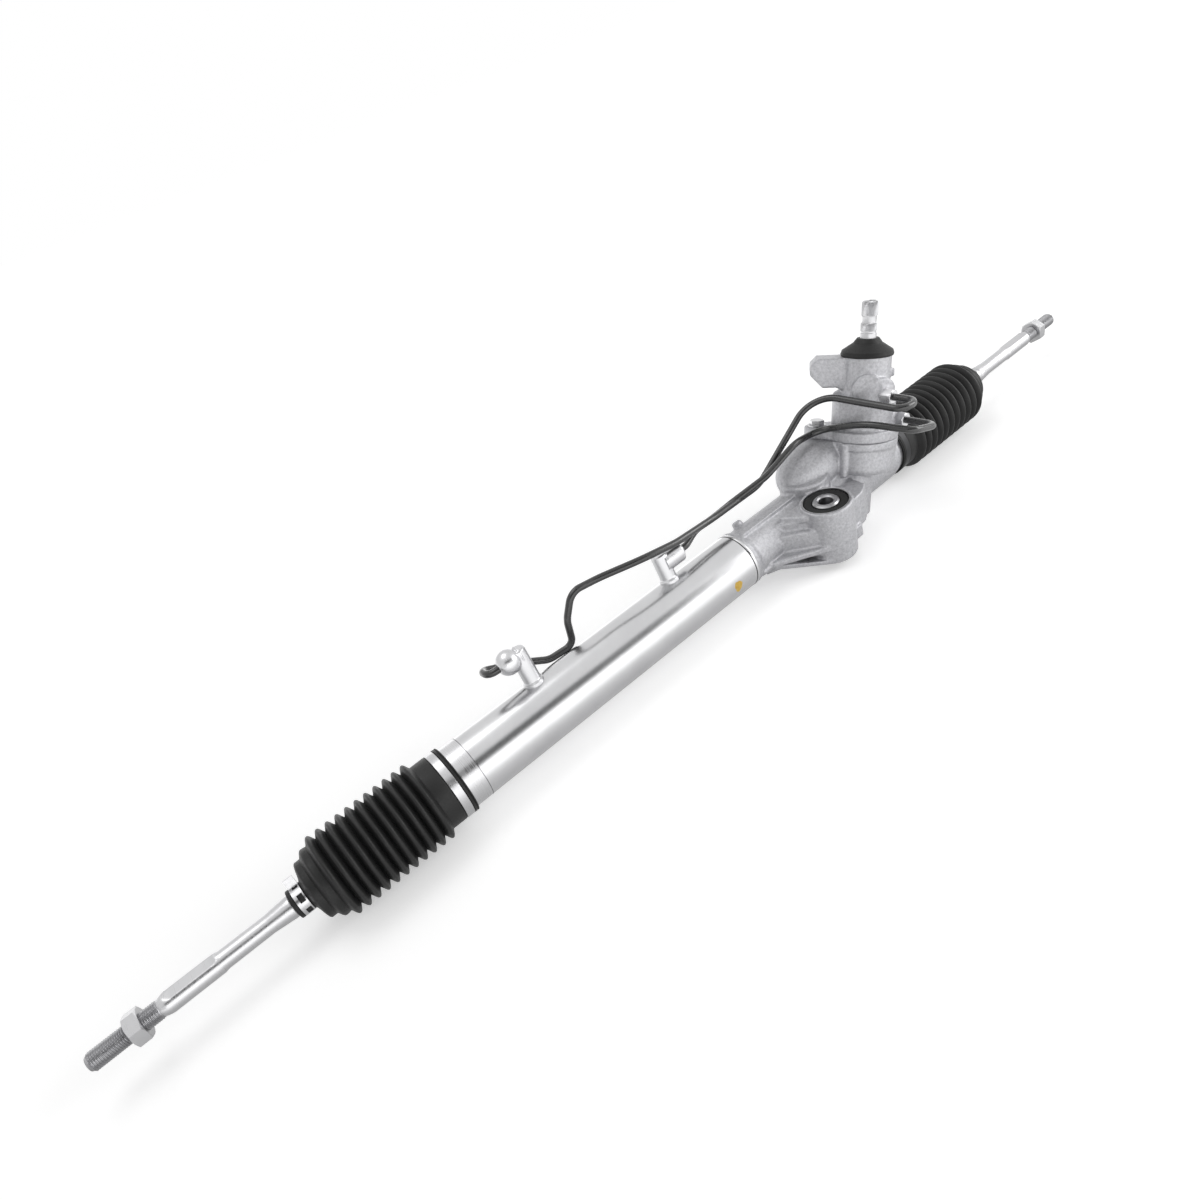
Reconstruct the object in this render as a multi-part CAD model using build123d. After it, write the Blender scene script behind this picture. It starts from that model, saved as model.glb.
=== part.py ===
from build123d import *
import os
from math import atan2, cos, degrees, hypot, pi, radians, sin, sqrt, tan

# A hydraulic rack-and-pinion steering gear.
# Everything is drawn about the rack bar's axis, which runs along X at Y 0 and Z 0,
# with X counted from the mount bush. The finished pieces are then moved so that the
# mount bush's bore is the origin.

# Stations along X
BUSH_TO_SEAM = 83.0
TUBE_LENGTH = 302.0
STOPPER_LENGTH = 33.0
BUSH_TO_FAR_END = 148.0
BOOT_OVERLAP = 18.0
RACK_OFFSET = 13.0
RACK_TRAVEL = 62.0
BALL_STANDOFF = 118.0

# Mount bush and its boss
BUSH_TO_RACK = 41.0
BUSH_BORE_R = 6.75
BUSH_SLEEVE_R = 12.0
BUSH_RUBBER_R = 20.6
BUSH_SHELL_WALL = 0.8
BOSS_WALL = 2.8
BOSS_DRAFT = 1.6
BOSS_HALF_HEIGHT = 28.0
SLEEVE_STAND_OUT = 1.5
RUBBER_RECESS = 1.0

# Rack bar and its power cylinder
BAR_R = 13.0
STUD_R = 8.0
STUD_LENGTH = 16.0
CYLINDER_BORE_R = 23.0
TUBE_R = 26.85
RACK_BORE_R = 15.0
SPIGOT_LENGTH = 22.0
ROD_SEAL_R = 18.0
ROD_SEAL_LENGTH = 8.0
ROD_BUSH_LENGTH = 20.0
PISTON_LENGTH = 20.0
PISTON_RING_WIDTH = 3.0
PISTON_RING_DEPTH = 2.0

# Pinion and rack teeth
PINION_TO_BUSH = 75.0
PINION_TILT = 16.0
PINION_TEETH = 8
PINION_PITCH_R = 7.4
PINION_TIP_R = 9.6
PINION_ROOT_R = 5.6
PINION_OFFSET = 16.0
PRESSURE_ANGLE = 24.0
RACK_ADDENDUM = 1.0
TOOTH_SHARE = 0.42
TOOTH_BACKLASH = 0.10
TOOTH_GAP = 0.5
TOOTH_HALF_FACE = 14.0
TOOTH_MARGIN = 14.0

# Heights along the pinion's axis, from the rack bar's axis
LOWER_NEEDLE_LOW = -30.0
LOWER_NEEDLE_HIGH = -17.0
BEARING_LOW = 22.0
BEARING_WIDTH = 14.0
JOINT_FACE = 45.0
PINION_TOP = 60.0
SLEEVE_LOW = 50.0
SLEEVE_HIGH = 96.0
VALVE_BORE_TOP = 99.0
UPPER_NEEDLE_TOP = 112.0
INPUT_SEAL_TOP = 119.0
VALVE_TOP = 122.0
INPUT_TOP = 167.0

# Radii about the pinion's axis
LOWER_JOURNAL_R = 6.0
LOWER_NEEDLE_R = 9.0
LOWER_WALL = 4.0
PINION_BORE_R = 11.0
PINION_SHOULDER_R = 10.7
PINION_SEAT_R = 10.0
BEARING_R = 23.5
BEARING_RING_WALL = 3.1
BALL_COUNT = 7
POCKET_WALL = 8.5
POCKET_LOW = 13.0
SLEEVE_R = 18.9
SLEEVE_WALL = 7.9
VALVE_WALL = 11.0
UPPER_VALVE_R = 24.5
UPPER_NEEDLE_R = 13.0
INPUT_SEAL_R = 15.0
INPUT_JOURNAL_R = 9.0
SPLINE_R = 7.25
SPLINE_GROOVE_R = 6.3
TORSION_END_R = 4.4
TORSION_R = 2.7
PIN_R = 1.5

# Flanges of the valve housing joint, as ears at an angle about the pinion's axis
FLANGE_THICKNESS = 10.0
FLANGE_R = 33.0
EAR_R = 11.5
EAR_REACH = 42.0
EAR_ANGLES = (132.0, 60.0)
BOLT_R = 4.0
BOLT_HEAD_FLATS = 12.0
BOLT_HEAD_HEIGHT = 6.0
BOLT_GRIP = 18.0

# Hose ports and the front pad on the valve housing
PORT_BLOCK_ANGLE = 132.0
PORT_BLOCK_REACH = 53.0
PORT_BLOCK_LOW = 93.0
PORT_BLOCK_THICKNESS = 24.0
COVER_SKIRT = 2.0
PORT_BLOCK_CORNER_R = 12.0
PRESSURE_PORT_R = 7.0
RETURN_PORT_R = 6.0
PORT_DEPTH = 13.0
PRESSURE_PORT_REACH = 38.0
RETURN_BOSS_REACH = 37.0
RETURN_BOSS_HEIGHT = 74.0
PAD_R = 15.0
PAD_HEIGHT = 92.0
PAD_REACH = 28.5

# Steel pipes
PIPE_R = 3.2
PIPE_WALL = 0.9
NUT_FLATS = 12.0
NUT_LENGTH = 12.0
PIPE_SEAT = 4.0
PORT_SIDE_R = 8.0
UPPER_PORT_HEIGHT = 87.4
LOWER_PORT_HEIGHT = 63.5
UPPER_PORT_SHIFT = -4.0
LOWER_PORT_SHIFT = 14.1
PIPE_PORT_REACH = 34.0

# Port bosses on the tube
BOSS_LEAN = 13.5
POST_R = 7.5
NEAR_POST_X = -309.0
NEAR_POST_TOP = 60.0
NEAR_ARM_HEIGHT = 50.5
NEAR_ARM_R = 9.0
NEAR_ARM_LENGTH = 13.0
FAR_POST_X = -151.0
FAR_POST_TOP = 52.0
FAR_ARM_HEIGHT = 43.0
FAR_ARM_R = 8.0
FAR_ARM_LENGTH = 14.0
POST_COLLAR = 1.5

# Rack guide
GUIDE_BORE_R = 16.0
GUIDE_BACK = 29.0
PAD_THICKNESS = 0.9
PAD_ANGLE = 62.0
PLUG_R = 17.4
PLUG_START = 34.0
GUIDE_BOSS_R = 23.0
GUIDE_BOSS_END = 44.0
LOCK_NUT_FLATS = 44.0
LOCK_NUT_HEIGHT = 7.0
PLUG_STAND_OUT = 9.0
PLUG_KEY_FLATS = 17.0

# Tie rods, measured outward from the ball
TIE_ROD_LENGTH = 187.0
BALL_R = 13.5
LINER_WALL = 1.45
SOCKET_R = 19.0
SOCKET_BACK = 34.0
SOCKET_MOUTH = 12.0
SOCKET_MOUTH_R = 12.8
NECK_R = 6.5
INNER_SHAFT_R = 8.4
COLLAR_R = 8.9
SHAFT_R = 7.3
THREAD_R = 7.0
THREAD_PITCH_R = 6.5
FLAT_LENGTH = 38.0
FLAT_START = 54.0
FLAT_ACROSS = 12.6
JAM_NUT_FLATS = 22.0
JAM_NUT_WIDTH = 10.0
JAM_NUT_FROM_TIP = 28.0
WASHER_THICKNESS = 2.0

# Boots and clamps
BOOT_WALL = 1.3
BOOT_MOUTH_R = 29.3
BOOT_CREST_R = 34.25
BOOT_VALLEY_R = 28.6
BOOT_CRESTS = 13
BOOT_BIG_END = 24.0
BOOT_SMALL_FROM_BALL = 38.0
BOOT_SMALL_END = 12.0
BOOT_SMALL_R = 10.9
CLAMP_WIDTH = 7.0
CLAMP_FROM_MOUTH = 4.0
CLAMP_WALL = 0.8
SMALL_CLAMP_WIDTH = 7.4
SMALL_CLAMP_WALL = 0.7

# Clearances
RUNNING = 0.05
SEATED = 0.05
RACK_END_GAP = 2.0

# Worked out from the sizes above
SEAM = -BUSH_TO_SEAM
TUBE_START = SEAM - TUBE_LENGTH
NEAR_END = TUBE_START - STOPPER_LENGTH
NEAR_MOUTH = NEAR_END + BOOT_OVERLAP
FAR_MOUTH = BUSH_TO_FAR_END - BOOT_OVERLAP
NEAR_BALL = NEAR_MOUTH - BALL_STANDOFF + RACK_OFFSET
FAR_BALL = FAR_MOUTH + BALL_STANDOFF + RACK_OFFSET
BAR_START = NEAR_BALL + SOCKET_BACK + WASHER_THICKNESS
BAR_END = FAR_BALL - SOCKET_BACK - WASHER_THICKNESS
PINION_Y = -PINION_OFFSET
PITCH_LINE = PINION_Y + PINION_PITCH_R
RACK_TIP_Y = PITCH_LINE - RACK_ADDENDUM
RACK_ROOT_Y = PINION_Y + PINION_TIP_R + TOOTH_GAP
POCKET_R = BEARING_R + POCKET_WALL
BOSS_R = BUSH_RUBBER_R + BUSH_SHELL_WALL + SEATED + BOSS_WALL
BORE_R = BUSH_RUBBER_R + BUSH_SHELL_WALL + SEATED
VALVE_R = SLEEVE_R + 0.1 + VALVE_WALL
GUIDE_R = GUIDE_BORE_R - RUNNING
BALL_CIRCLE_R = (PINION_SEAT_R + BEARING_R) / 2
BALL_BEARING_R = (BEARING_R - PINION_SEAT_R) / 2 - BEARING_RING_WALL - RUNNING

# The pinion's frame: its Z is the pinion's axis, its Y is the rack frame's Y
GEAR = Plane(
    origin=(PINION_TO_BUSH, PINION_Y, 0),
    x_dir=(cos(radians(PINION_TILT)), 0, -sin(radians(PINION_TILT))),
    z_dir=(sin(radians(PINION_TILT)), 0, cos(radians(PINION_TILT))),
)
TO_ORIGIN = Pos(0, BUSH_TO_RACK, 0)


def turned(*points):
    """A solid turned about Z from (radius, height) points."""
    face = Plane.XZ * make_face(Polyline(*points, close=True))
    return revolve(face, axis=Axis.Z)


def ring(radius, bore, low, high):
    """A plain ring about Z between two heights."""
    return turned((bore, low), (radius, low), (radius, high), (bore, high))


def rod(radius, low, high):
    """A plain round bar about Z between two heights."""
    return Pos(0, 0, (low + high) / 2) * Cylinder(radius, high - low)


def along_x(solid, x=0.0):
    """Lay a solid that is drawn about Z along X, with its height 0 at x."""
    return Pos(x, 0, 0) * Rot(0, 90, 0) * solid


def along_y(solid, x=0.0):
    """Lay a solid that is drawn about Z along Y, with its height 0 on the rack axis."""
    return Pos(x, 0, 0) * Rot(-90, 0, 0) * solid


def facing(angle, solid):
    """Point a solid drawn about Z outward from the gear axis at an angle about it."""
    return Rot(0, 0, angle) * Rot(0, 90, 0) * solid


def hexagon(flats, low, high):
    """A hexagonal bar about Z."""
    prism = extrude(RegularPolygon(flats / 2, 6, major_radius=False), high - low)
    return Pos(0, 0, low) * prism


def nut(flats, bore, low, high, chamfer=1.0):
    """A hexagon nut about Z with its corners turned back at both faces."""
    corner = flats / sqrt(3)
    turned_blank = turned(
        (bore, low),
        (corner - chamfer, low),
        (corner, low + chamfer / 2),
        (corner, high - chamfer / 2),
        (corner - chamfer, high),
        (bore, high),
    )
    return turned_blank & hexagon(flats, low, high)


def polar(radius, angle):
    return radius * cos(radians(angle)), radius * sin(radians(angle))


# Mount bush

def bush_outer_sleeve():
    half = BOSS_HALF_HEIGHT
    return ring(BORE_R - SEATED, BUSH_RUBBER_R, -half, half)


def bush_rubber():
    low = -BOSS_HALF_HEIGHT + RUBBER_RECESS
    high = BOSS_HALF_HEIGHT - RUBBER_RECESS
    lip = 1.5
    return turned(
        (BUSH_SLEEVE_R, low + lip),
        (BUSH_SLEEVE_R + lip, low),
        (BUSH_RUBBER_R - lip, low),
        (BUSH_RUBBER_R, low + lip),
        (BUSH_RUBBER_R, high - lip),
        (BUSH_RUBBER_R - lip, high),
        (BUSH_SLEEVE_R + lip, high),
        (BUSH_SLEEVE_R, high - lip),
    )


def bush_inner_sleeve():
    half = BOSS_HALF_HEIGHT + SLEEVE_STAND_OUT
    return ring(BUSH_SLEEVE_R, BUSH_BORE_R, -half, half)


def at_bush(solid):
    return Pos(0, -BUSH_TO_RACK, 0) * solid


# Rack housing

def flange(low, high):
    """The joint flange: a disc drawn out to its bolt ears."""
    disc = Circle(FLANGE_R)
    for angle in EAR_ANGLES:
        x, y = polar(EAR_REACH, angle)
        disc += make_hull(Circle(FLANGE_R * 0.8).edges() + (Pos(x, y) * Circle(EAR_R)).edges())
    return Pos(0, 0, low) * extrude(disc, high - low)


def web(points, low, high):
    """A flat web between two heights, from points in the XY plane."""
    return Pos(0, 0, low) * extrude(make_face(Polyline(*points, close=True)), high - low)


def neck():
    """The round neck from the tube's seam to the gear case and on to the far boot."""
    ring_end = SEAM + 6.0
    neck_r = TUBE_R - 2.2
    case_r = TUBE_R + 2.0
    boot_seat = FAR_MOUTH - 3.0
    profile = turned(
        (0, SEAM),
        (TUBE_R, SEAM),
        (TUBE_R, ring_end),
        (neck_r, ring_end + 5.0),
        (neck_r, PINION_TO_BUSH - 52.0),
        (case_r, PINION_TO_BUSH - 30.0),
        (case_r, boot_seat - 5.0),
        (case_r - 1.0, boot_seat - 3.5),
        (case_r - 1.0, boot_seat),
        (TUBE_R, boot_seat),
        (TUBE_R, BUSH_TO_FAR_END),
        (0, BUSH_TO_FAR_END),
    )
    return along_x(profile)


def boss_webs():
    """Webs that tie the mount boss to the neck and to the gear case."""
    y = -BUSH_TO_RACK
    far_x = PINION_TO_BUSH - 19.0
    solids = []
    top = [(-38, -18), (-16, y - 14), (0, y), (34, -18)]
    solids.append(web(top, BOSS_HALF_HEIGHT - 9.0, BOSS_HALF_HEIGHT - 3.0))
    for reach, height in ((-44, 9.0), (-72, -9.0), (-60, -25.0)):
        plan = [(reach, -20), (-12, y - 19), (0, y), (0, -10), (reach, -10)]
        solids.append(web(plan, height - 3.0, height + 2.5))
    side = [(0, y - 12), (far_x - 16, y - 8), (far_x - 3, y - 1), (far_x, -18), (0, -18)]
    solids.append(web(side, -17.0, 16.0))
    foot = [(0, y - 14), (30, y - 12), (44, -24), (20, -10), (0, -10)]
    solids.append(web(foot, -25.0, -12.0))
    return solids


def gear_case():
    """Pinion pocket, lower pinion housing, bolt ears, case shoulder and guide boss."""
    edge = 5.0
    pocket = GEAR * turned(
        (0, POCKET_LOW),
        (POCKET_R - edge, POCKET_LOW),
        (POCKET_R - edge * 0.3, POCKET_LOW + edge * 0.3),
        (POCKET_R, POCKET_LOW + edge),
        (POCKET_R, JOINT_FACE),
        (0, JOINT_FACE),
    )
    lower_r = LOWER_NEEDLE_R + LOWER_WALL
    lower_end = LOWER_NEEDLE_LOW - LOWER_WALL
    lower = GEAR * turned(
        (0, lower_end),
        (lower_r - 2.0, lower_end),
        (lower_r, lower_end + 2.0),
        (lower_r, POCKET_LOW - 6.0),
        (lower_r + 6.0, POCKET_LOW + 1.0),
        (0, POCKET_LOW + 1.0),
    )
    joint = GEAR * flange(JOINT_FACE - 7.0, JOINT_FACE)
    solids = [pocket, lower, joint]
    for angle in EAR_ANGLES:
        x, y = polar(EAR_REACH, angle)
        column = Pos(x, y, 0) * rod(EAR_R - 1.0, JOINT_FACE - BOLT_GRIP - 4.0, JOINT_FACE)
        web_box = Rot(0, 0, angle) * Pos(EAR_REACH / 2, 0, JOINT_FACE - 13.0)
        solids.append(GEAR * column)
        solids.append(GEAR * (web_box * Box(EAR_REACH, EAR_R, 24.0)))
    guide_boss = along_y(
        turned(
            (0, 0),
            (GUIDE_BOSS_R + 5.0, 0),
            (GUIDE_BOSS_R + 5.0, GUIDE_BOSS_END - 16.0),
            (GUIDE_BOSS_R, GUIDE_BOSS_END - 11.0),
            (GUIDE_BOSS_R, GUIDE_BOSS_END),
            (0, GUIDE_BOSS_END),
        ),
        PINION_TO_BUSH,
    )
    shoulder = Pos(PINION_TO_BUSH - 32.0, 13.0, 0) * turned(
        (0, -18.0),
        (20.0, -18.0),
        (24.0, -12.0),
        (25.0, 26.0),
        (21.0, 35.0),
        (0, 38.0),
    )
    solids.append(guide_boss)
    solids.append(shoulder)
    return solids


def ribs():
    """Ribs along the neck, beside the pinion pocket, and the small cast lug."""
    neck_r = TUBE_R - 2.2
    start = SEAM + 9.0
    stop = PINION_TO_BUSH - 30.0
    middle = (start + stop) / 2
    length = stop - start
    top = Pos(middle, -5.0, neck_r - 0.5) * Box(length, 6.0, 6.0)
    front = Rot(-62, 0, 0) * Pos(middle - 20, 0, -neck_r) * Box(length - 40, 6.0, 5.0)
    solids = [top, front]
    for angle in (160.0, 190.0):
        bar = Rot(0, 0, angle) * Pos(POCKET_R - 1.0, 0, POCKET_LOW + 15.0)
        solids.append(GEAR * (bar * Cylinder(4.0, 32.0)))
    lug = Pos(SEAM + 24.0, 0, 0) * Rot(-35, 0, 0)
    lug_height = neck_r + 5.5
    solids.append(lug * turned((0, 0), (6.5, 0), (5.0, lug_height - 1.5), (3.5, lug_height), (0, lug_height)))
    return solids


def rack_housing():
    boss_bottom_r = BOSS_R - BOSS_DRAFT
    half = BOSS_HALF_HEIGHT
    boss = at_bush(turned(
        (0, -half),
        (boss_bottom_r - 1.0, -half),
        (boss_bottom_r, -half + 1.5),
        (BOSS_R, half - 1.0),
        (BOSS_R - 0.8, half),
        (0, half),
    ))
    spigot_low = SEAM - SPIGOT_LENGTH
    spigot = along_x(rod(CYLINDER_BORE_R - SEATED, spigot_low, SEAM))
    body = neck() + boss + spigot
    for solid in boss_webs() + gear_case() + ribs():
        body += solid
    body -= at_bush(rod(BORE_R, -half - 1, half + 1))
    body -= along_x(rod(RACK_BORE_R, spigot_low - 1, BUSH_TO_FAR_END + 1))
    body -= along_x(rod(ROD_SEAL_R + SEATED, spigot_low - 1, spigot_low + ROD_SEAL_LENGTH + 1))
    body -= GEAR * rod(PINION_BORE_R, LOWER_NEEDLE_HIGH, BEARING_LOW + 1)
    body -= GEAR * rod(LOWER_NEEDLE_R + SEATED, LOWER_NEEDLE_LOW, LOWER_NEEDLE_HIGH + 1)
    body -= GEAR * rod(BEARING_R + SEATED, BEARING_LOW, JOINT_FACE + 1)
    body -= GEAR * ring(O_RING_R + SEATED, BEARING_R, JOINT_FACE - O_RING_DEPTH, JOINT_FACE + 1)
    body -= along_y(rod(GUIDE_BORE_R, 0, GUIDE_BOSS_END + 1), PINION_TO_BUSH)
    body -= along_y(rod(PLUG_R + SEATED, GUIDE_BACK + 1, GUIDE_BOSS_END + 1), PINION_TO_BUSH)
    for angle in EAR_ANGLES:
        x, y = polar(EAR_REACH, angle)
        hole = Pos(x, y, 0) * rod(BOLT_R + SEATED, JOINT_FACE - BOLT_GRIP, JOINT_FACE + 1)
        body -= GEAR * hole
    return body


O_RING_R = BEARING_R + 2.6
O_RING_DEPTH = 1.6


def housing_o_ring():
    return GEAR * ring(O_RING_R, BEARING_R + SEATED + 0.3, JOINT_FACE - O_RING_DEPTH + 0.02, JOINT_FACE)


# Power cylinder

def cylinder_tube():
    tube = along_x(ring(TUBE_R, CYLINDER_BORE_R, TUBE_START, SEAM))
    for x in (NEAR_POST_X, FAR_POST_X):
        tube -= post_frame(x) * rod(POST_R * 0.5, CYLINDER_BORE_R - 3, TUBE_R + 3)
    return tube


def end_stopper():
    """The screwed-in end of the cylinder, which also carries the near boot."""
    spigot_end = TUBE_START + SPIGOT_LENGTH
    seal_start = spigot_end - ROD_SEAL_LENGTH - 1
    return along_x(turned(
        (RACK_BORE_R, NEAR_END),
        (TUBE_R - 1.0, NEAR_END),
        (TUBE_R, NEAR_END + 1.0),
        (TUBE_R, TUBE_START),
        (CYLINDER_BORE_R - SEATED, TUBE_START),
        (CYLINDER_BORE_R - SEATED, spigot_end),
        (ROD_SEAL_R + SEATED, spigot_end),
        (ROD_SEAL_R + SEATED, seal_start),
        (RACK_BORE_R, seal_start),
    ))


def rod_seal(low, open_high):
    """A lip seal on the rack bar, with its open side towards the pressure."""
    high = low + ROD_SEAL_LENGTH
    bore = BAR_R + RUNNING
    slot_low = ROD_SEAL_LENGTH * 0.45
    if open_high:
        lip, floor = high, low + slot_low
    else:
        lip, floor = low, high - slot_low
    middle = (bore + ROD_SEAL_R) / 2
    seal = ring(ROD_SEAL_R, bore, low, high)
    seal -= ring(middle + 0.9, middle - 0.9, min(lip, floor), max(lip, floor))
    return along_x(seal)


def stopper_bush():
    start = NEAR_END + 6.0
    return along_x(ring(RACK_BORE_R, BAR_R + RUNNING, start, start + ROD_BUSH_LENGTH))


def rack_end_bush():
    stop = BUSH_TO_FAR_END - 2.0
    return along_x(ring(RACK_BORE_R, BAR_R + RUNNING, stop - ROD_BUSH_LENGTH, stop))


def post_frame(x):
    """A frame whose Z stands on the tube, leaning back from the camera side."""
    return Pos(x, 0, 0) * Rot(-BOSS_LEAN, 0, 0)


def port_boss(x, top, arm_height, arm_r, arm_length, side):
    """A round post on the tube with a blind arm along the tube; side is -1 or 1."""
    arm_end = POST_R + arm_length
    post = rod(POST_R, TUBE_R - 1.5, top - 1.0)
    post += turned(
        (0, top - 1.0),
        (POST_R, top - 1.0),
        (POST_R - 1.0, top),
        (0, top),
    )
    post += rod(POST_R + POST_COLLAR, TUBE_R - 1.5, TUBE_R + 2.0)
    arm = turned(
        (0, 0),
        (arm_r, 0),
        (arm_r, arm_end - arm_r * 0.55),
        (arm_r * 0.88, arm_end - arm_r * 0.25),
        (arm_r * 0.62, arm_end),
        (0, arm_end),
    )
    lay = Pos(0, 0, arm_height) * Rot(0, 90 * side, 0)
    body = post + lay * arm
    body -= lay * rod(PIPE_R + SEATED, arm_end - PIPE_SEAT, arm_end + 1)
    body -= lay * rod(PIPE_R - PIPE_WALL, 0, arm_end)
    body -= rod(PIPE_R - PIPE_WALL, TUBE_R - 3, arm_height)
    placed = post_frame(x) * body
    return placed - along_x(rod(TUBE_R + 0.02, x - 20, x + 20))


def port_boss_near():
    return port_boss(NEAR_POST_X, NEAR_POST_TOP, NEAR_ARM_HEIGHT, NEAR_ARM_R, NEAR_ARM_LENGTH, -1)


def port_boss_far():
    return port_boss(FAR_POST_X, FAR_POST_TOP, FAR_ARM_HEIGHT, FAR_ARM_R, FAR_ARM_LENGTH, 1)


def arm_mouth(x, arm_height, arm_length, side, inset=PIPE_SEAT):
    """The place on an arm's axis that lies inset from the arm's end."""
    reach = side * (POST_R + arm_length - inset)
    lean = radians(BOSS_LEAN)
    return Vector(x + reach, arm_height * sin(lean), arm_height * cos(lean))


def gear_point(x, y, height):
    """A point of the pinion's frame, in the rack frame."""
    return GEAR.from_local_coords(Vector(x, y, height))


def pipe(points, radii):
    """A steel pipe along straight runs joined by tangent arcs."""
    path = FilletPolyline(*points, radius=radii)
    start = Plane(origin=path @ 0, z_dir=path % 0)
    section = start * (Circle(PIPE_R) - Circle(PIPE_R - PIPE_WALL))
    return sweep(section, path=path)


def port_start(shift, height):
    """Where a pipe seats in the valve housing, straight in front of its port."""
    return gear_point(shift, -PIPE_PORT_REACH + PIPE_SEAT, height)


UPPER_LOOP_Y = -88.0
LOWER_LOOP_Y = -92.0


def turn_pipe_left():
    """From the upper port, round the valve housing and along the tube to the near boss."""
    start = port_start(UPPER_PORT_SHIFT, UPPER_PORT_HEIGHT)
    end = arm_mouth(NEAR_POST_X, NEAR_ARM_HEIGHT, NEAR_ARM_LENGTH, -1)
    loop_x = end.X - 18.0
    points = [
        start,
        (start.X, UPPER_LOOP_Y, start.Z),
        (73.0, UPPER_LOOP_Y, 92.0),
        (62.0, 10.0, 93.0),
        (22.0, 13.0, 76.0),
        (-14.0, 14.0, 58.0),
        (-55.0, 14.0, 49.0),
        (-117.5, 7.5, 55.5),
        (-170.5, 13.0, 58.7),
        (-211.0, 20.0, 61.6),
        (-241.0, 20.0, 60.0),
        (-256.5, 21.0, 38.0),
        (-263.0, 23.5, 24.0),
        (-289.0, 26.0, 26.5),
        (-312.0, 29.0, 42.0),
        (loop_x, 29.0, end.Z),
        (loop_x, end.Y, end.Z),
        end,
    ]
    radii = [11.0, 11.0, 14.0, 30.0, 30.0, 40.0, 60.0, 60.0, 30.0, 16.0, 12.0, 14.0, 14.0, 8.0, 8.0, 8.0]
    return pipe(points, radii)


def turn_pipe_right():
    """From the lower port, round the valve housing and along the neck to the far boss."""
    start = port_start(LOWER_PORT_SHIFT, LOWER_PORT_HEIGHT)
    end = arm_mouth(FAR_POST_X, FAR_ARM_HEIGHT, FAR_ARM_LENGTH, 1)
    points = [
        start,
        (start.X, LOWER_LOOP_Y, start.Z),
        (88.0, LOWER_LOOP_Y, 66.0),
        (46.0, 4.0, 67.0),
        (10.0, 5.0, 59.0),
        (-28.0, 5.0, 52.0),
        (-64.0, 4.5, 48.5),
        (-98.0, 5.0, 48.0),
        (-116.0, end.Y, end.Z),
        end,
    ]
    radii = [11.0, 11.0, 16.0, 40.0, 60.0, 60.0, 20.0, 10.0]
    return pipe(points, radii)


def flare_nut():
    """A flare nut about Z, seated at height 0."""
    return nut(NUT_FLATS, PIPE_R + SEATED, 0, NUT_LENGTH)


def pipe_flare_nuts():
    """Nuts at the valve housing's two pipe ports and at the far boss."""
    solids = []
    for shift, height in (
        (UPPER_PORT_SHIFT, UPPER_PORT_HEIGHT),
        (LOWER_PORT_SHIFT, LOWER_PORT_HEIGHT),
    ):
        place = Pos(shift, -PIPE_PORT_REACH, height) * Rot(90, 0, 0)
        solids.append(GEAR * (place * flare_nut()))
    mouth = arm_mouth(FAR_POST_X, FAR_ARM_HEIGHT, FAR_ARM_LENGTH, 1, inset=0)
    solids.append(Pos(*mouth) * Rot(0, 90, 0) * flare_nut())
    return solids


# Pinion bearings and seals

def bearing_outer_ring():
    wall = BEARING_RING_WALL
    return GEAR * ring(BEARING_R, BEARING_R - wall, BEARING_LOW, BEARING_LOW + BEARING_WIDTH)


def bearing_inner_ring():
    wall = BEARING_RING_WALL
    return GEAR * ring(PINION_SEAT_R + wall, PINION_SEAT_R, BEARING_LOW, BEARING_LOW + BEARING_WIDTH)


def bearing_balls():
    height = BEARING_LOW + BEARING_WIDTH / 2
    solids = []
    for index in range(BALL_COUNT):
        x, y = polar(BALL_CIRCLE_R, index * 360 / BALL_COUNT)
        solids.append(GEAR * (Pos(x, y, height) * Sphere(BALL_BEARING_R)))
    return solids


def bearing_retainer():
    low = BEARING_LOW + BEARING_WIDTH
    return GEAR * ring(BEARING_R, BEARING_R - 6.0, low, low + 2.5)


def pinion_seal():
    low = JOINT_FACE - 5.0
    return GEAR * turned(
        (PINION_SEAT_R + RUNNING, low),
        (SLEEVE_R + 0.05, low),
        (SLEEVE_R + 0.05, JOINT_FACE - 0.5),
        (PINION_SEAT_R + 3.0, JOINT_FACE - 0.5),
        (PINION_SEAT_R + 3.0, low + 2.0),
        (PINION_SEAT_R + RUNNING, low + 2.0),
    )


def lower_needle_bearing():
    return GEAR * ring(LOWER_NEEDLE_R, LOWER_JOURNAL_R + RUNNING, LOWER_NEEDLE_LOW, LOWER_NEEDLE_HIGH)


def input_needle_bearing():
    return GEAR * ring(UPPER_NEEDLE_R, INPUT_JOURNAL_R + RUNNING, VALVE_BORE_TOP + 1.5, UPPER_NEEDLE_TOP)


def input_shaft_seal():
    low = UPPER_NEEDLE_TOP + 0.5
    return GEAR * turned(
        (INPUT_JOURNAL_R + RUNNING, low),
        (INPUT_SEAL_R, low),
        (INPUT_SEAL_R, INPUT_SEAL_TOP),
        (INPUT_JOURNAL_R + 2.5, INPUT_SEAL_TOP),
        (INPUT_JOURNAL_R + 2.5, low + 2.5),
        (INPUT_JOURNAL_R + RUNNING, low + 2.5),
    )


# Valve housing

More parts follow.
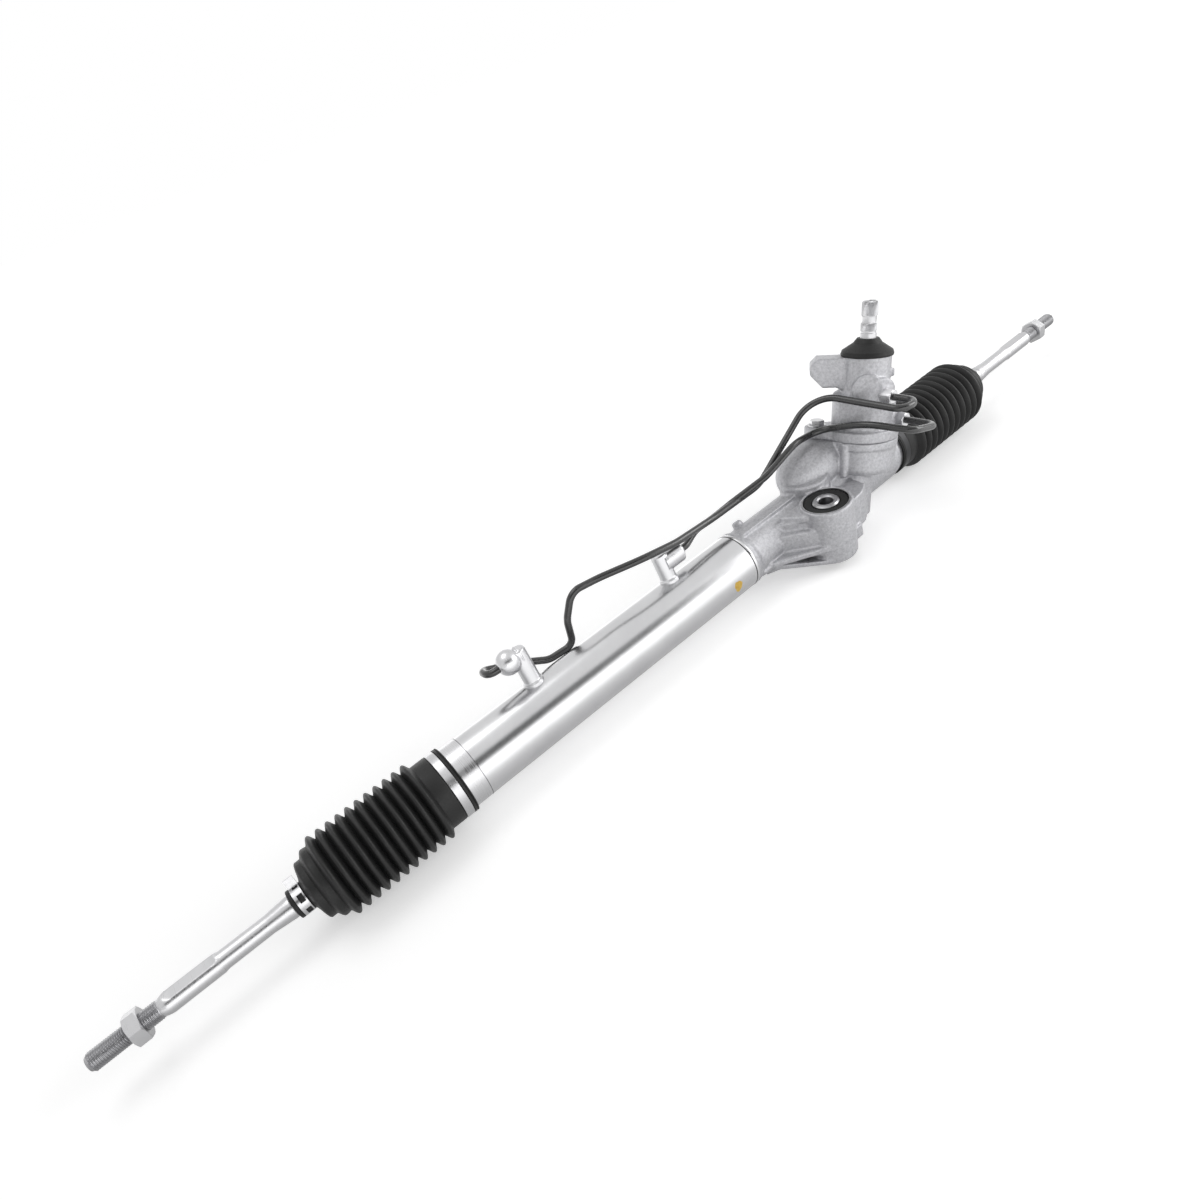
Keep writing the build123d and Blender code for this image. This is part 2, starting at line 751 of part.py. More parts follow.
def port_block():
    """The hose port block, drawn in the plane through the gear axis and turned to its angle."""
    low = PORT_BLOCK_LOW
    high = VALVE_TOP - COVER_SKIRT - 0.5
    reach = PORT_BLOCK_REACH
    corner = PORT_BLOCK_CORNER_R
    outline = Polyline(
        (0, low - 4.0),
        (UPPER_VALVE_R - 2.0, low - 4.0),
        (UPPER_VALVE_R + 4.0, low),
        (reach - corner, low),
        (reach, low + corner),
        (reach, high - corner * 0.5),
        (reach - corner * 0.5, high),
        (0, high),
        close=True,
    )
    block = extrude(Plane.XZ * make_face(outline), PORT_BLOCK_THICKNESS / 2, both=True)
    standing = block.edges().filter_by(Axis.Y).group_by(Axis.X)[-1]
    block = fillet(standing, corner * 0.3)
    return Rot(0, 0, PORT_BLOCK_ANGLE) * block


def valve_housing():
    top_edge = 1.0
    step_low = LOWER_VALVE_TOP
    flange_top = JOINT_FACE + FLANGE_THICKNESS
    body = turned(
        (0, JOINT_FACE),
        (VALVE_R, JOINT_FACE),
        (VALVE_R, flange_top),
        (VALVE_R, step_low),
        (UPPER_VALVE_R, step_low + 4.0),
        (UPPER_VALVE_R, VALVE_TOP - top_edge),
        (UPPER_VALVE_R - top_edge, VALVE_TOP),
        (0, VALVE_TOP),
    )
    body += flange(JOINT_FACE, flange_top)
    body += rod(BEARING_R - SEATED, JOINT_FACE - 6.0, JOINT_FACE)
    body += port_block()
    back = PORT_BLOCK_ANGLE - 90
    body += facing(back + 180, rod(PAD_R, 0, PAD_REACH)).moved(Pos(0, 0, PAD_HEIGHT))
    body += facing(back, rod(RETURN_PORT_R + 4.5, 0, RETURN_BOSS_REACH)).moved(Pos(0, 0, RETURN_BOSS_HEIGHT))
    for shift, height in (
        (UPPER_PORT_SHIFT, UPPER_PORT_HEIGHT),
        (LOWER_PORT_SHIFT, LOWER_PORT_HEIGHT),
    ):
        body += Pos(shift, 0, height) * Rot(90, 0, 0) * rod(PORT_SIDE_R, 0, PIPE_PORT_REACH)
    plug_angle = PORT_BLOCK_ANGLE + 175
    body += facing(plug_angle, nut(7.0, 0, 0, UPPER_VALVE_R + 3.0, 0.6)).moved(Pos(0, 0, VALVE_TOP - 18.0))
    body -= rod(SLEEVE_R + 0.1, JOINT_FACE - 7.0, VALVE_BORE_TOP)
    body -= rod(UPPER_NEEDLE_R + SEATED, VALVE_BORE_TOP - 1, UPPER_NEEDLE_TOP + 0.5)
    body -= rod(INPUT_SEAL_R + SEATED, UPPER_NEEDLE_TOP + 0.5, VALVE_TOP + 1)
    for shift, height in (
        (UPPER_PORT_SHIFT, UPPER_PORT_HEIGHT),
        (LOWER_PORT_SHIFT, LOWER_PORT_HEIGHT),
    ):
        port = Pos(shift, 0, height) * Rot(90, 0, 0)
        body -= port * rod(PIPE_R + SEATED, PIPE_PORT_REACH - PIPE_SEAT, PIPE_PORT_REACH + 1)
        body -= port * rod(PIPE_R - PIPE_WALL, SLEEVE_R - 5, PIPE_PORT_REACH)
    side = Rot(0, 0, PORT_BLOCK_ANGLE) * Pos(PRESSURE_PORT_REACH, 0, PORT_BLOCK_LOW + 14.0) * Rot(90, 0, 0)
    half = PORT_BLOCK_THICKNESS / 2
    body -= side * rod(PRESSURE_PORT_R, half - PORT_DEPTH, half + 1)
    back_port = facing(back, rod(RETURN_PORT_R, RETURN_BOSS_REACH - PORT_DEPTH, RETURN_BOSS_REACH + 1))
    body -= back_port.moved(Pos(0, 0, RETURN_BOSS_HEIGHT))
    for angle in EAR_ANGLES:
        x, y = polar(EAR_REACH, angle)
        body -= Pos(x, y, 0) * rod(BOLT_R + 0.3, JOINT_FACE - 1, flange_top + 1)
        body -= Pos(x, y, 0) * rod(EAR_R - 2.0, flange_top, flange_top + BOLT_HEAD_HEIGHT + 2.0)
    return GEAR * body


LOWER_VALVE_TOP = 85.0


def housing_bolts():
    flange_top = JOINT_FACE + FLANGE_THICKNESS
    washer = 1.6
    solids = []
    for angle in EAR_ANGLES:
        x, y = polar(EAR_REACH, angle)
        bolt = nut(BOLT_HEAD_FLATS, 0, flange_top, flange_top + BOLT_HEAD_HEIGHT)
        bolt += rod(EAR_R - 3.0, flange_top, flange_top + washer)
        bolt += rod(BOLT_R, JOINT_FACE - BOLT_GRIP + 1.0, flange_top + 1.0)
        solids.append(GEAR * (Pos(x, y, 0) * bolt))
    return solids


def dust_cover():
    """Rubber cover pressed over the valve housing's top, with a lip on the input shaft."""
    rim = UPPER_VALVE_R + 1.2
    lip = SPLINE_R + 0.3
    top = VALVE_TOP + 13.0
    return GEAR * turned(
        (UPPER_VALVE_R + SEATED, VALVE_TOP - COVER_SKIRT),
        (rim, VALVE_TOP - COVER_SKIRT),
        (rim + 0.4, VALVE_TOP - 0.5),
        (rim - 0.6, VALVE_TOP + 2.5),
        (rim - 6.0, VALVE_TOP + 6.0),
        (lip + 5.5, VALVE_TOP + 9.0),
        (lip + 2.2, top),
        (lip, top),
        (lip, top - 3.0),
        (lip + 4.0, VALVE_TOP + 6.5),
        (rim - 7.0, VALVE_TOP + 4.0),
        (rim - 3.0, VALVE_TOP),
        (UPPER_VALVE_R + SEATED, VALVE_TOP),
    )


# Pinion and valve

def tooth_pitch():
    return 2 * pi * PINION_PITCH_R / PINION_TEETH


def pinion_section():
    """The pinion's teeth as one face, with a tooth pointing along +Y."""
    base_r = PINION_PITCH_R * cos(radians(PRESSURE_ANGLE))
    thickness = tooth_pitch() * (1 - TOOTH_SHARE) - TOOTH_BACKLASH
    half_angle = thickness / 2 / PINION_PITCH_R
    pitch_roll = tan(radians(PRESSURE_ANGLE)) - radians(PRESSURE_ANGLE)

    def flank_angle(radius):
        """Half the tooth's angle at a radius, on its involute."""
        pressure = sqrt(max((radius / base_r) ** 2 - 1, 0))
        return half_angle + pitch_roll - (pressure - atan2(pressure, 1))

    steps = 5
    radii = [base_r + (PINION_TIP_R - base_r) * i / steps for i in range(steps + 1)]
    face = Circle(PINION_ROOT_R)
    for index in range(PINION_TEETH):
        centre = pi / 2 + index * 2 * pi / PINION_TEETH
        right = [(r * cos(centre - flank_angle(r)), r * sin(centre - flank_angle(r))) for r in radii]
        left = [(r * cos(centre + flank_angle(r)), r * sin(centre + flank_angle(r))) for r in reversed(radii)]
        root_half = flank_angle(base_r)
        root_r = PINION_ROOT_R - 0.3
        first = (root_r * cos(centre - root_half), root_r * sin(centre - root_half))
        last = (root_r * cos(centre + root_half), root_r * sin(centre + root_half))
        outline = [first] + right + left + [last]
        face += make_face(Polyline(*outline, close=True))
    return face


def pinion():
    half = TOOTH_HALF_FACE
    shaft = turned(
        (0, LOWER_NEEDLE_LOW + 0.5),
        (LOWER_JOURNAL_R - 0.5, LOWER_NEEDLE_LOW + 0.5),
        (LOWER_JOURNAL_R, LOWER_NEEDLE_LOW + 1.0),
        (LOWER_JOURNAL_R, -half - 1.0),
        (PINION_ROOT_R, -half),
        (PINION_ROOT_R, half),
        (PINION_ROOT_R + 2.0, half + 1.0),
        (PINION_SHOULDER_R, half + 3.0),
        (PINION_SHOULDER_R, BEARING_LOW),
        (PINION_SEAT_R, BEARING_LOW),
        (PINION_SEAT_R, JOINT_FACE + 2.0),
        (SLEEVE_BORE_R - SEATED, JOINT_FACE + 3.0),
        (SLEEVE_BORE_R - SEATED, PINION_TOP),
        (0, PINION_TOP),
    )
    teeth = Pos(0, 0, -half) * extrude(pinion_section(), 2 * half)
    body = shaft + teeth
    body -= rod(TORSION_END_R + RUNNING, TORSION_LOW - 1.0, PINION_TOP + 1)
    body -= Pos(0, 0, SLEEVE_PIN_HEIGHT) * Rot(0, 90, 0) * rod(PIN_R, TORSION_END_R, SLEEVE_R)
    return GEAR * body


SLEEVE_BORE_R = SLEEVE_R - SLEEVE_WALL
SLEEVE_PIN_HEIGHT = 55.0
TORSION_LOW = 6.0
TORSION_TOP = 150.0
SHAFT_PIN_HEIGHT = 128.0
SLEEVE_RINGS = (61.0, 70.0, 79.0, 90.0)
RING_DEPTH = 1.0
RING_WIDTH = 2.0


def valve_sleeve():
    body = ring(SLEEVE_R, SLEEVE_BORE_R, SLEEVE_LOW, SLEEVE_HIGH)
    for height in SLEEVE_RINGS:
        body -= ring(SLEEVE_R + 1, SLEEVE_R - RING_DEPTH, height - RING_WIDTH / 2, height + RING_WIDTH / 2)
    gaps = [(low + high) / 2 for low, high in zip(SLEEVE_RINGS, SLEEVE_RINGS[1:])]
    for height in gaps:
        for angle in (30, 150, 270):
            body -= facing(angle, rod(1.5, SLEEVE_BORE_R - 1, SLEEVE_R + 1)).moved(Pos(0, 0, height))
    body -= Pos(0, 0, SLEEVE_PIN_HEIGHT) * Rot(0, 90, 0) * rod(PIN_R, 0, SLEEVE_R + 1)
    return GEAR * body


def sleeve_seal_rings():
    half = RING_WIDTH / 2 - 0.02
    solids = []
    for height in SLEEVE_RINGS:
        solids.append(GEAR * ring(SLEEVE_R + 0.05, SLEEVE_R - RING_DEPTH, height - half, height + half))
    return solids


def sleeve_pin():
    pin = Pos(0, 0, SLEEVE_PIN_HEIGHT) * Rot(0, 90, 0) * rod(PIN_R, TORSION_END_R + 0.5, SLEEVE_R - 0.5)
    return GEAR * pin


def input_shaft():
    rotor_r = SLEEVE_BORE_R - RUNNING
    groove = (INPUT_TOP + VALVE_TOP + 13.0) / 2
    low = PINION_TOP + 0.5
    body = turned(
        (0, low),
        (rotor_r, low),
        (rotor_r, VALVE_BORE_TOP - 2.0),
        (INPUT_JOURNAL_R, VALVE_BORE_TOP),
        (INPUT_JOURNAL_R, INPUT_SEAL_TOP + 1.0),
        (SPLINE_R, INPUT_SEAL_TOP + 3.0),
        (SPLINE_R, groove - 3.5),
        (SPLINE_GROOVE_R, groove - 2.5),
        (SPLINE_GROOVE_R, groove + 2.5),
        (SPLINE_R, groove + 3.5),
        (SPLINE_R, INPUT_TOP - 1.2),
        (SPLINE_R - 1.2, INPUT_TOP),
        (0, INPUT_TOP),
    )
    slot_low = low + 4.0
    slot_high = VALVE_BORE_TOP - 6.0
    for index in range(6):
        slot = Rot(0, 0, index * 60) * Pos(rotor_r, 0, (slot_low + slot_high) / 2)
        body -= slot * Box(2.4, 3.0, slot_high - slot_low)
    body -= rod(TORSION_END_R + RUNNING, low - 1, TORSION_TOP + 0.5)
    body -= Pos(0, 0, SHAFT_PIN_HEIGHT) * Rot(90, 0, 0) * Cylinder(PIN_R, 3 * SPLINE_R)
    return GEAR * body


def torsion_bar():
    body = turned(
        (0, TORSION_LOW),
        (TORSION_END_R - 0.5, TORSION_LOW),
        (TORSION_END_R, TORSION_LOW + 0.5),
        (TORSION_END_R, TORSION_LOW + 18.0),
        (TORSION_R, TORSION_LOW + 24.0),
        (TORSION_R, SHAFT_PIN_HEIGHT - 16.0),
        (TORSION_END_R, SHAFT_PIN_HEIGHT - 10.0),
        (TORSION_END_R, TORSION_TOP),
        (0, TORSION_TOP),
    )
    body -= Pos(0, 0, SHAFT_PIN_HEIGHT) * Rot(90, 0, 0) * Cylinder(PIN_R, 3 * SPLINE_R)
    return GEAR * body


def torsion_bar_pin():
    pin = Pos(0, 0, SHAFT_PIN_HEIGHT) * Rot(90, 0, 0) * Cylinder(PIN_R, 2 * SPLINE_R - 1.0)
    return GEAR * pin


# Rack bar

def rack_teeth_span():
    """The toothed stretch, long enough for the pinion at both ends of the travel."""
    low = PINION_TO_BUSH - (RACK_TRAVEL - RACK_OFFSET) - TOOTH_MARGIN
    high = PINION_TO_BUSH + RACK_TRAVEL + RACK_OFFSET + TOOTH_MARGIN
    return low, high


def tooth_gap_prism():
    """One gap between rack teeth, drawn in the plane square to the pinion's axis."""
    gap = tooth_pitch() * (1 - TOOTH_SHARE)
    slope = tan(radians(PRESSURE_ANGLE))
    top = RACK_TIP_Y - 1.0
    half_top = gap / 2 + (PITCH_LINE - top) * slope
    half_root = gap / 2 - (RACK_ROOT_Y - PITCH_LINE) * slope
    outline = Polyline(
        (-half_top, top - PINION_Y),
        (half_top, top - PINION_Y),
        (half_root, RACK_ROOT_Y - PINION_Y),
        (-half_root, RACK_ROOT_Y - PINION_Y),
        close=True,
    )
    length = 3 * BAR_R
    return GEAR * (Pos(0, 0, -length / 2) * extrude(make_face(outline), length))


def rack_bar():
    body = along_x(turned(
        (0, BAR_START - STUD_LENGTH),
        (STUD_R - 0.8, BAR_START - STUD_LENGTH),
        (STUD_R, BAR_START - STUD_LENGTH + 0.8),
        (STUD_R, BAR_START),
        (BAR_R - 1.0, BAR_START),
        (BAR_R, BAR_START + 1.0),
        (BAR_R, BAR_END - 1.0),
        (BAR_R - 1.0, BAR_END),
        (STUD_R, BAR_END),
        (STUD_R, BAR_END + STUD_LENGTH - 0.8),
        (STUD_R - 0.8, BAR_END + STUD_LENGTH),
        (0, BAR_END + STUD_LENGTH),
    ))
    low, high = rack_teeth_span()
    pitch_x = tooth_pitch() / cos(radians(PINION_TILT))
    flat = Pos((low + high) / 2, RACK_TIP_Y - BAR_R / 2, 0) * Box(high - low, BAR_R, 3 * BAR_R)
    body -= flat
    first = -int((PINION_TO_BUSH - low - pitch_x) / pitch_x)
    last = int((high - PINION_TO_BUSH - pitch_x) / pitch_x)
    gap = tooth_gap_prism()
    for index in range(first, last + 1):
        body -= Pos(index * pitch_x, 0, 0) * gap
    return body


def piston_middle():
    """The piston's place at rest: half way between the ports, moved with the rack."""
    return (NEAR_POST_X + FAR_POST_X) / 2 + RACK_OFFSET


def piston():
    half = PISTON_LENGTH / 2
    side = CYLINDER_BORE_R - 0.3
    groove = side - PISTON_RING_DEPTH
    ring_half = PISTON_RING_WIDTH / 2
    return along_x(turned(
        (BAR_R, -half),
        (side - 1.0, -half),
        (side, -half + 1.0),
        (side, -ring_half),
        (groove, -ring_half),
        (groove, ring_half),
        (side, ring_half),
        (side, half - 1.0),
        (side - 1.0, half),
        (BAR_R, half),
    ), piston_middle())


def piston_ring():
    outer = CYLINDER_BORE_R - RUNNING
    inner = CYLINDER_BORE_R - 0.3 - PISTON_RING_DEPTH
    half = PISTON_RING_WIDTH / 2
    return along_x(ring(outer, inner, -half, half), piston_middle())


# Rack guide, opposite the pinion

def rack_guide():
    saddle = BAR_R + RUNNING + PAD_THICKNESS
    body = along_y(turned(
        (0, 4.0),
        (GUIDE_R, 4.0),
        (GUIDE_R, GUIDE_BACK),
        (6.0, GUIDE_BACK),
        (6.0, GUIDE_BACK - 6.0),
        (0, GUIDE_BACK - 6.0),
    ), PINION_TO_BUSH)
    reach = 2 * GUIDE_R
    return body - along_x(rod(saddle, PINION_TO_BUSH - reach, PINION_TO_BUSH + reach))


def guide_pad():
    half = GUIDE_R * 0.72
    outer = BAR_R + RUNNING + PAD_THICKNESS
    shell = along_x(ring(outer, BAR_R + RUNNING, PINION_TO_BUSH - half, PINION_TO_BUSH + half))
    reach = 2 * BAR_R
    height = reach * tan(radians(PAD_ANGLE))
    wedge = Polyline((0, 0), (reach, -height), (reach, height), close=True)
    keep = extrude(Plane.YZ * make_face(wedge), 4 * half)
    return shell & Pos(PINION_TO_BUSH - 2 * half, 0, 0) * keep


def guide_springs():
    """Two disc springs, back to back, between the guide and its plug."""
    solids = []
    room = PLUG_START - GUIDE_BACK
    thick = room * 0.3
    inner, outer = 6.5, GUIDE_R - 2.0
    half = room / 2
    low = turned((outer, 0), (outer, thick), (inner, half), (inner, half - thick))
    high = turned((outer, room), (outer, room - thick), (inner, half), (inner, half + thick))
    for disc in (low, high):
        solids.append(Pos(0, GUIDE_BACK, 0) * along_y(disc, PINION_TO_BUSH))
    return solids


def adjusting_plug():
    end = GUIDE_BOSS_END + PLUG_STAND_OUT
    body = rod(PLUG_R, PLUG_START, end - 1.0)
    body += turned((0, end - 1.0), (PLUG_R, end - 1.0), (PLUG_R - 1.0, end), (0, end))
    body -= hexagon(PLUG_KEY_FLATS, end - 9.0, end + 1.0)
    return along_y(body, PINION_TO_BUSH)


def plug_lock_nut():
    blank = nut(LOCK_NUT_FLATS, PLUG_R + SEATED, GUIDE_BOSS_END, GUIDE_BOSS_END + LOCK_NUT_HEIGHT, 2.0)
    return along_y(blank, PINION_TO_BUSH)


# Tie rods, sockets, boots and clamps. Each is drawn about Z with the ball at height 0
# and the tie rod's tip upward, and then laid on its side of the rack.

def on_side(solid, side):
    """Lay a solid out along the rack from its ball; side is -1 near, 1 far."""
    ball = FAR_BALL if side > 0 else NEAR_BALL
    return Pos(ball, 0, 0) * Rot(0, 90 * side, 0) * solid


def ball_socket(side):
    seat_r = BALL_R + RUNNING + LINER_WALL + RUNNING
    lip = SOCKET_MOUTH - 7.0
    steps = 6
    cup = [(seat_r * sin(pi / 2 * i / steps), -seat_r * cos(pi / 2 * i / steps)) for i in range(steps + 1)]
    cavity = turned(*cup, (seat_r, lip), (0, lip))
    body = turned(
        (0, -SOCKET_BACK),
        (SOCKET_R - 2.0, -SOCKET_BACK),
        (SOCKET_R, -SOCKET_BACK + 2.0),
        (SOCKET_R, lip),
        (SOCKET_MOUTH_R + 2.4, SOCKET_MOUTH),
        (0, SOCKET_MOUTH),
    )
    body -= cavity
    body -= rod(SOCKET_MOUTH_R, lip - 0.5, SOCKET_MOUTH + 1)
    body -= rod(STUD_R + SEATED, -SOCKET_BACK - 1, -SOCKET_BACK + STUD_LENGTH + 1)
    flat = SOCKET_R - 2.0
    for sign in (-1, 1):
        cut = Pos(0, sign * (flat + 5.0), -SOCKET_BACK + 8.0) * Box(2 * SOCKET_R, 10.0, 11.0)
        body -= cut
    return on_side(body, side)


def ball_liner(side):
    outer = BALL_R + RUNNING + LINER_WALL
    lip = SOCKET_MOUTH - 7.0
    steps = 6
    cup = [(outer * sin(pi / 2 * i / steps), -outer * cos(pi / 2 * i / steps)) for i in range(steps + 1)]
    body = turned(*cup, (outer, lip - 0.1), (0, lip - 0.1))
    body -= Sphere(BALL_R + RUNNING)
    return on_side(body, side)


def tab_washer(side):
    low = -SOCKET_BACK - WASHER_THICKNESS
    body = ring(SOCKET_R - 2.5, STUD_R + SEATED, low, -SOCKET_BACK)
    return on_side(body, side)


def tie_rod(side):
    tip = TIE_ROD_LENGTH
    flat_end = tip - FLAT_START
    flat_start = flat_end - FLAT_LENGTH
    flat_r = SHAFT_R + 0.7
    groove_end = BOOT_SMALL_FROM_BALL
    nut_high = tip - JAM_NUT_FROM_TIP + SEATED
    nut_low = nut_high - JAM_NUT_WIDTH - 2 * SEATED
    centre_drill = 2.2
    neck_low = sqrt(BALL_R ** 2 - NECK_R ** 2)
    shaft = turned(
        (0, neck_low - 3.0),
        (NECK_R, neck_low - 3.0),
        (NECK_R, 16.0),
        (INNER_SHAFT_R, 22.0),
        (INNER_SHAFT_R, groove_end + 0.3),
        (COLLAR_R, groove_end + 0.6),
        (COLLAR_R, groove_end + 3.0),
        (SHAFT_R, groove_end + 19.0),
        (SHAFT_R, flat_start - 1.5),
        (flat_r, flat_start),
        (flat_r, flat_end),
        (THREAD_R, flat_end + 2.5),
        (THREAD_R, nut_low),
        (THREAD_PITCH_R, nut_low),
        (THREAD_PITCH_R, nut_high),
        (THREAD_R, nut_high),
        (THREAD_R, tip - 1.5),
        (THREAD_R - 1.5, tip),
        (centre_drill, tip),
        (0, tip - centre_drill),
    )
    body = shaft + Sphere(BALL_R)
    for sign in (-1, 1):
        length = flat_end - flat_start
        middle = (flat_end + flat_start) / 2
        cut = Pos(sign * (FLAT_ACROSS / 2 + 5.0), 0, middle) * Box(10.0, 4 * SHAFT_R, length)
        body -= cut
    return on_side(body, side)


def jam_nut(side):
    high = TIE_ROD_LENGTH - JAM_NUT_FROM_TIP
    blank = nut(JAM_NUT_FLATS, THREAD_PITCH_R + SEATED, high - JAM_NUT_WIDTH, high, 2.0)
    return on_side(blank, side)


def boot_profile(length, small_r):
    """The boot's outside, from its mouth (height 0) to its small end, as (radius, height)."""
    clamp_r = BOOT_MOUTH_R - 1.0
    clamp_low = CLAMP_FROM_MOUTH
    clamp_high = clamp_low + CLAMP_WIDTH + 0.4
    start = BOOT_BIG_END
    stop = length - BOOT_SMALL_END
    pitch = (stop - start) / BOOT_CRESTS
    points = [
        (BOOT_MOUTH_R, 0),
        (BOOT_MOUTH_R, clamp_low - 0.2),
        (clamp_r, clamp_low - 0.2),
        (clamp_r, clamp_high),
        (BOOT_MOUTH_R - 0.4, clamp_high),
        (BOOT_MOUTH_R - 0.4, start),
    ]
    crest = [BOOT_CREST_R] * (BOOT_CRESTS - 2) + [BOOT_CREST_R * 0.85, BOOT_CREST_R * 0.7]
    valley = [BOOT_VALLEY_R] * (BOOT_CRESTS - 2) + [BOOT_VALLEY_R * 0.84, small_r + 2.0]
    for index in range(BOOT_CRESTS):
        height = start + pitch * index
        points.append((crest[index], height + pitch / 2))
        points.append((valley[index], height + pitch))
    points.append((small_r, stop + 1.0))
    points.append((small_r, length - 3.0))
    points.append((small_r + 0.5, length - 2.6))
    points.append((small_r + 0.5, length))
    return points


def boot(side):
    """A bellows drawn from the mouth on the housing to the groove on the tie rod."""
    ball = FAR_BALL if side > 0 else NEAR_BALL
    mouth = FAR_MOUTH if side > 0 else NEAR_MOUTH
    length = side * (ball - mouth) + BOOT_SMALL_FROM_BALL
    outside = boot_profile(length, BOOT_SMALL_R)
    seat_r = TUBE_R + SEATED
    tie_r = INNER_SHAFT_R + SEATED
    inside = [(seat_r, 0), (seat_r, BOOT_BIG_END)]
    for radius, height in outside[6:-4]:
        inside.append((radius - BOOT_WALL, height))
    inside.append((tie_r, length - BOOT_SMALL_END + 1.0))
    inside.append((tie_r, length))
    body = turned(*outside, *reversed(inside))
    return Pos(mouth, 0, 0) * Rot(0, 90 * side, 0) * body


def boot_clamp(side):
    """The wide band clamp with its folded ear."""
    mouth = FAR_MOUTH if side > 0 else NEAR_MOUTH
    inner = BOOT_MOUTH_R - 1.0 + SEATED
    outer = inner + CLAMP_WALL
    low = CLAMP_FROM_MOUTH + 0.1
    high = low + CLAMP_WIDTH
    band = ring(outer, inner, low, high)
    turn = 112.0
    ear = Pos(outer + 1.0, 0, (low + high) / 2) * Box(3.0, 6.0, CLAMP_WIDTH)
    band += Rot(0, 0, turn) * ear
    band -= rod(inner, low - 1, high + 1)
    return Pos(mouth, 0, 0) * Rot(0, 90 * side, 0) * band


def small_clamp(side):
    """The narrow spring band on the tie rod end of the boot, with its upright tang."""
    inner = BOOT_SMALL_R + SEATED
    outer = inner + SMALL_CLAMP_WALL
    high = BOOT_SMALL_FROM_BALL - 3.1
    low = high - SMALL_CLAMP_WIDTH
    band = ring(outer, inner, low, high)
    window_low = low + 0.9
    window_high = low + 5.0
    for index in range(6):
        window = Rot(0, 0, 15 + index * 60) * Pos(outer, 0, (window_low + window_high) / 2)
        band -= window * Box(3.0, 6.5, window_high - window_low)
    tang_angle = 160.0 if side > 0 else 20.0
    tang = Pos(outer + 3.6, 0, (low + high) / 2) * Box(8.2, 1.6, SMALL_CLAMP_WIDTH)
    band += Rot(0, 0, tang_angle) * tang
    band -= rod(inner, low - 1, high + 1)
    return on_side(band, side)


SIDES = {"left": -1, "right": 1}

NODES = {
    "rack_housing": rack_housing,
    "cylinder_tube": cylinder_tube,
    "end_stopper": end_stopper,
    "stopper_bush": stopper_bush,
    "stopper_rod_seal": lambda: rod_seal(TUBE_START + SPIGOT_LENGTH - ROD_SEAL_LENGTH - 0.5, True),
    "inner_rod_seal": lambda: rod_seal(SEAM - SPIGOT_LENGTH + 0.5, False),
    "rack_end_bush": rack_end_bush,
    "port_boss_near": port_boss_near,
    "port_boss_far": port_boss_far,
    "turn_pipe_left": turn_pipe_left,
    "turn_pipe_right": turn_pipe_right,
    "pipe_flare_nuts": pipe_flare_nuts,
    "mount_bush_shell": lambda: at_bush(bush_outer_sleeve()),
    "mount_bush_rubber": lambda: at_bush(bush_rubber()),
    "mount_bush_sleeve": lambda: at_bush(bush_inner_sleeve()),
    "valve_housing": valve_housing,
    "housing_bolts": housing_bolts,
    "housing_o_ring": housing_o_ring,
    "dust_cover": dust_cover,
    "input_shaft_seal": input_shaft_seal,
    "input_needle_bearing": input_needle_bearing,
    "pinion_bearing_outer_ring": bearing_outer_ring,
    "pinion_bearing_balls": bearing_balls,
    "pinion_bearing_inner_ring": bearing_inner_ring,
    "pinion_bearing_retainer": bearing_retainer,
    "pinion_seal": pinion_seal,
    "lower_needle_bearing": lower_needle_bearing,
    "rack_guide": rack_guide,
    "rack_guide_pad": guide_pad,
    "rack_guide_springs": guide_springs,
    "adjusting_plug": adjusting_plug,
    "plug_lock_nut": plug_lock_nut,
    "pinion": pinion,
    "valve_sleeve": valve_sleeve,
    "sleeve_seal_rings": sleeve_seal_rings,
    "sleeve_pin": sleeve_pin,
    "input_shaft": input_shaft,
    "torsion_bar": torsion_bar,
    "torsion_bar_pin": torsion_bar_pin,
    "rack_bar": rack_bar,
    "piston": piston,
    "piston_ring": piston_ring,
}
PAIRED = {
    "ball_socket": ball_socket,
    "ball_liner": ball_liner,
    "tab_washer": tab_washer,
    "tie_rod": tie_rod,
    "jam_nut": jam_nut,
    "boot": boot,
    "boot_clamp": boot_clamp,
    "small_clamp": small_clamp,
}


def save(name, made):
    """Write one node's solids, moved so that the mount bush's bore is the origin."""
    pieces = made if isinstance(made, list) else [made]
    solids = []
    for piece in pieces:
        solids += [TO_ORIGIN * solid for solid in piece.solids()]
    whole = solids[0] if len(solids) == 1 else Compound(children=solids)
    export_step(whole, f"parts/{name}.step")


os.makedirs("parts", exist_ok=True)
for name, make in NODES.items():
    save(name, make())
for name, make in PAIRED.items():
    for side_name, side in SIDES.items():
        save(f"{name}_{side_name}", make(side))
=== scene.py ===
from contextlib import contextmanager
from math import ceil, cos, hypot, pi, radians, sin, sqrt, tan

import bmesh
import bpy
import numpy as np
from mathutils import Matrix, Vector


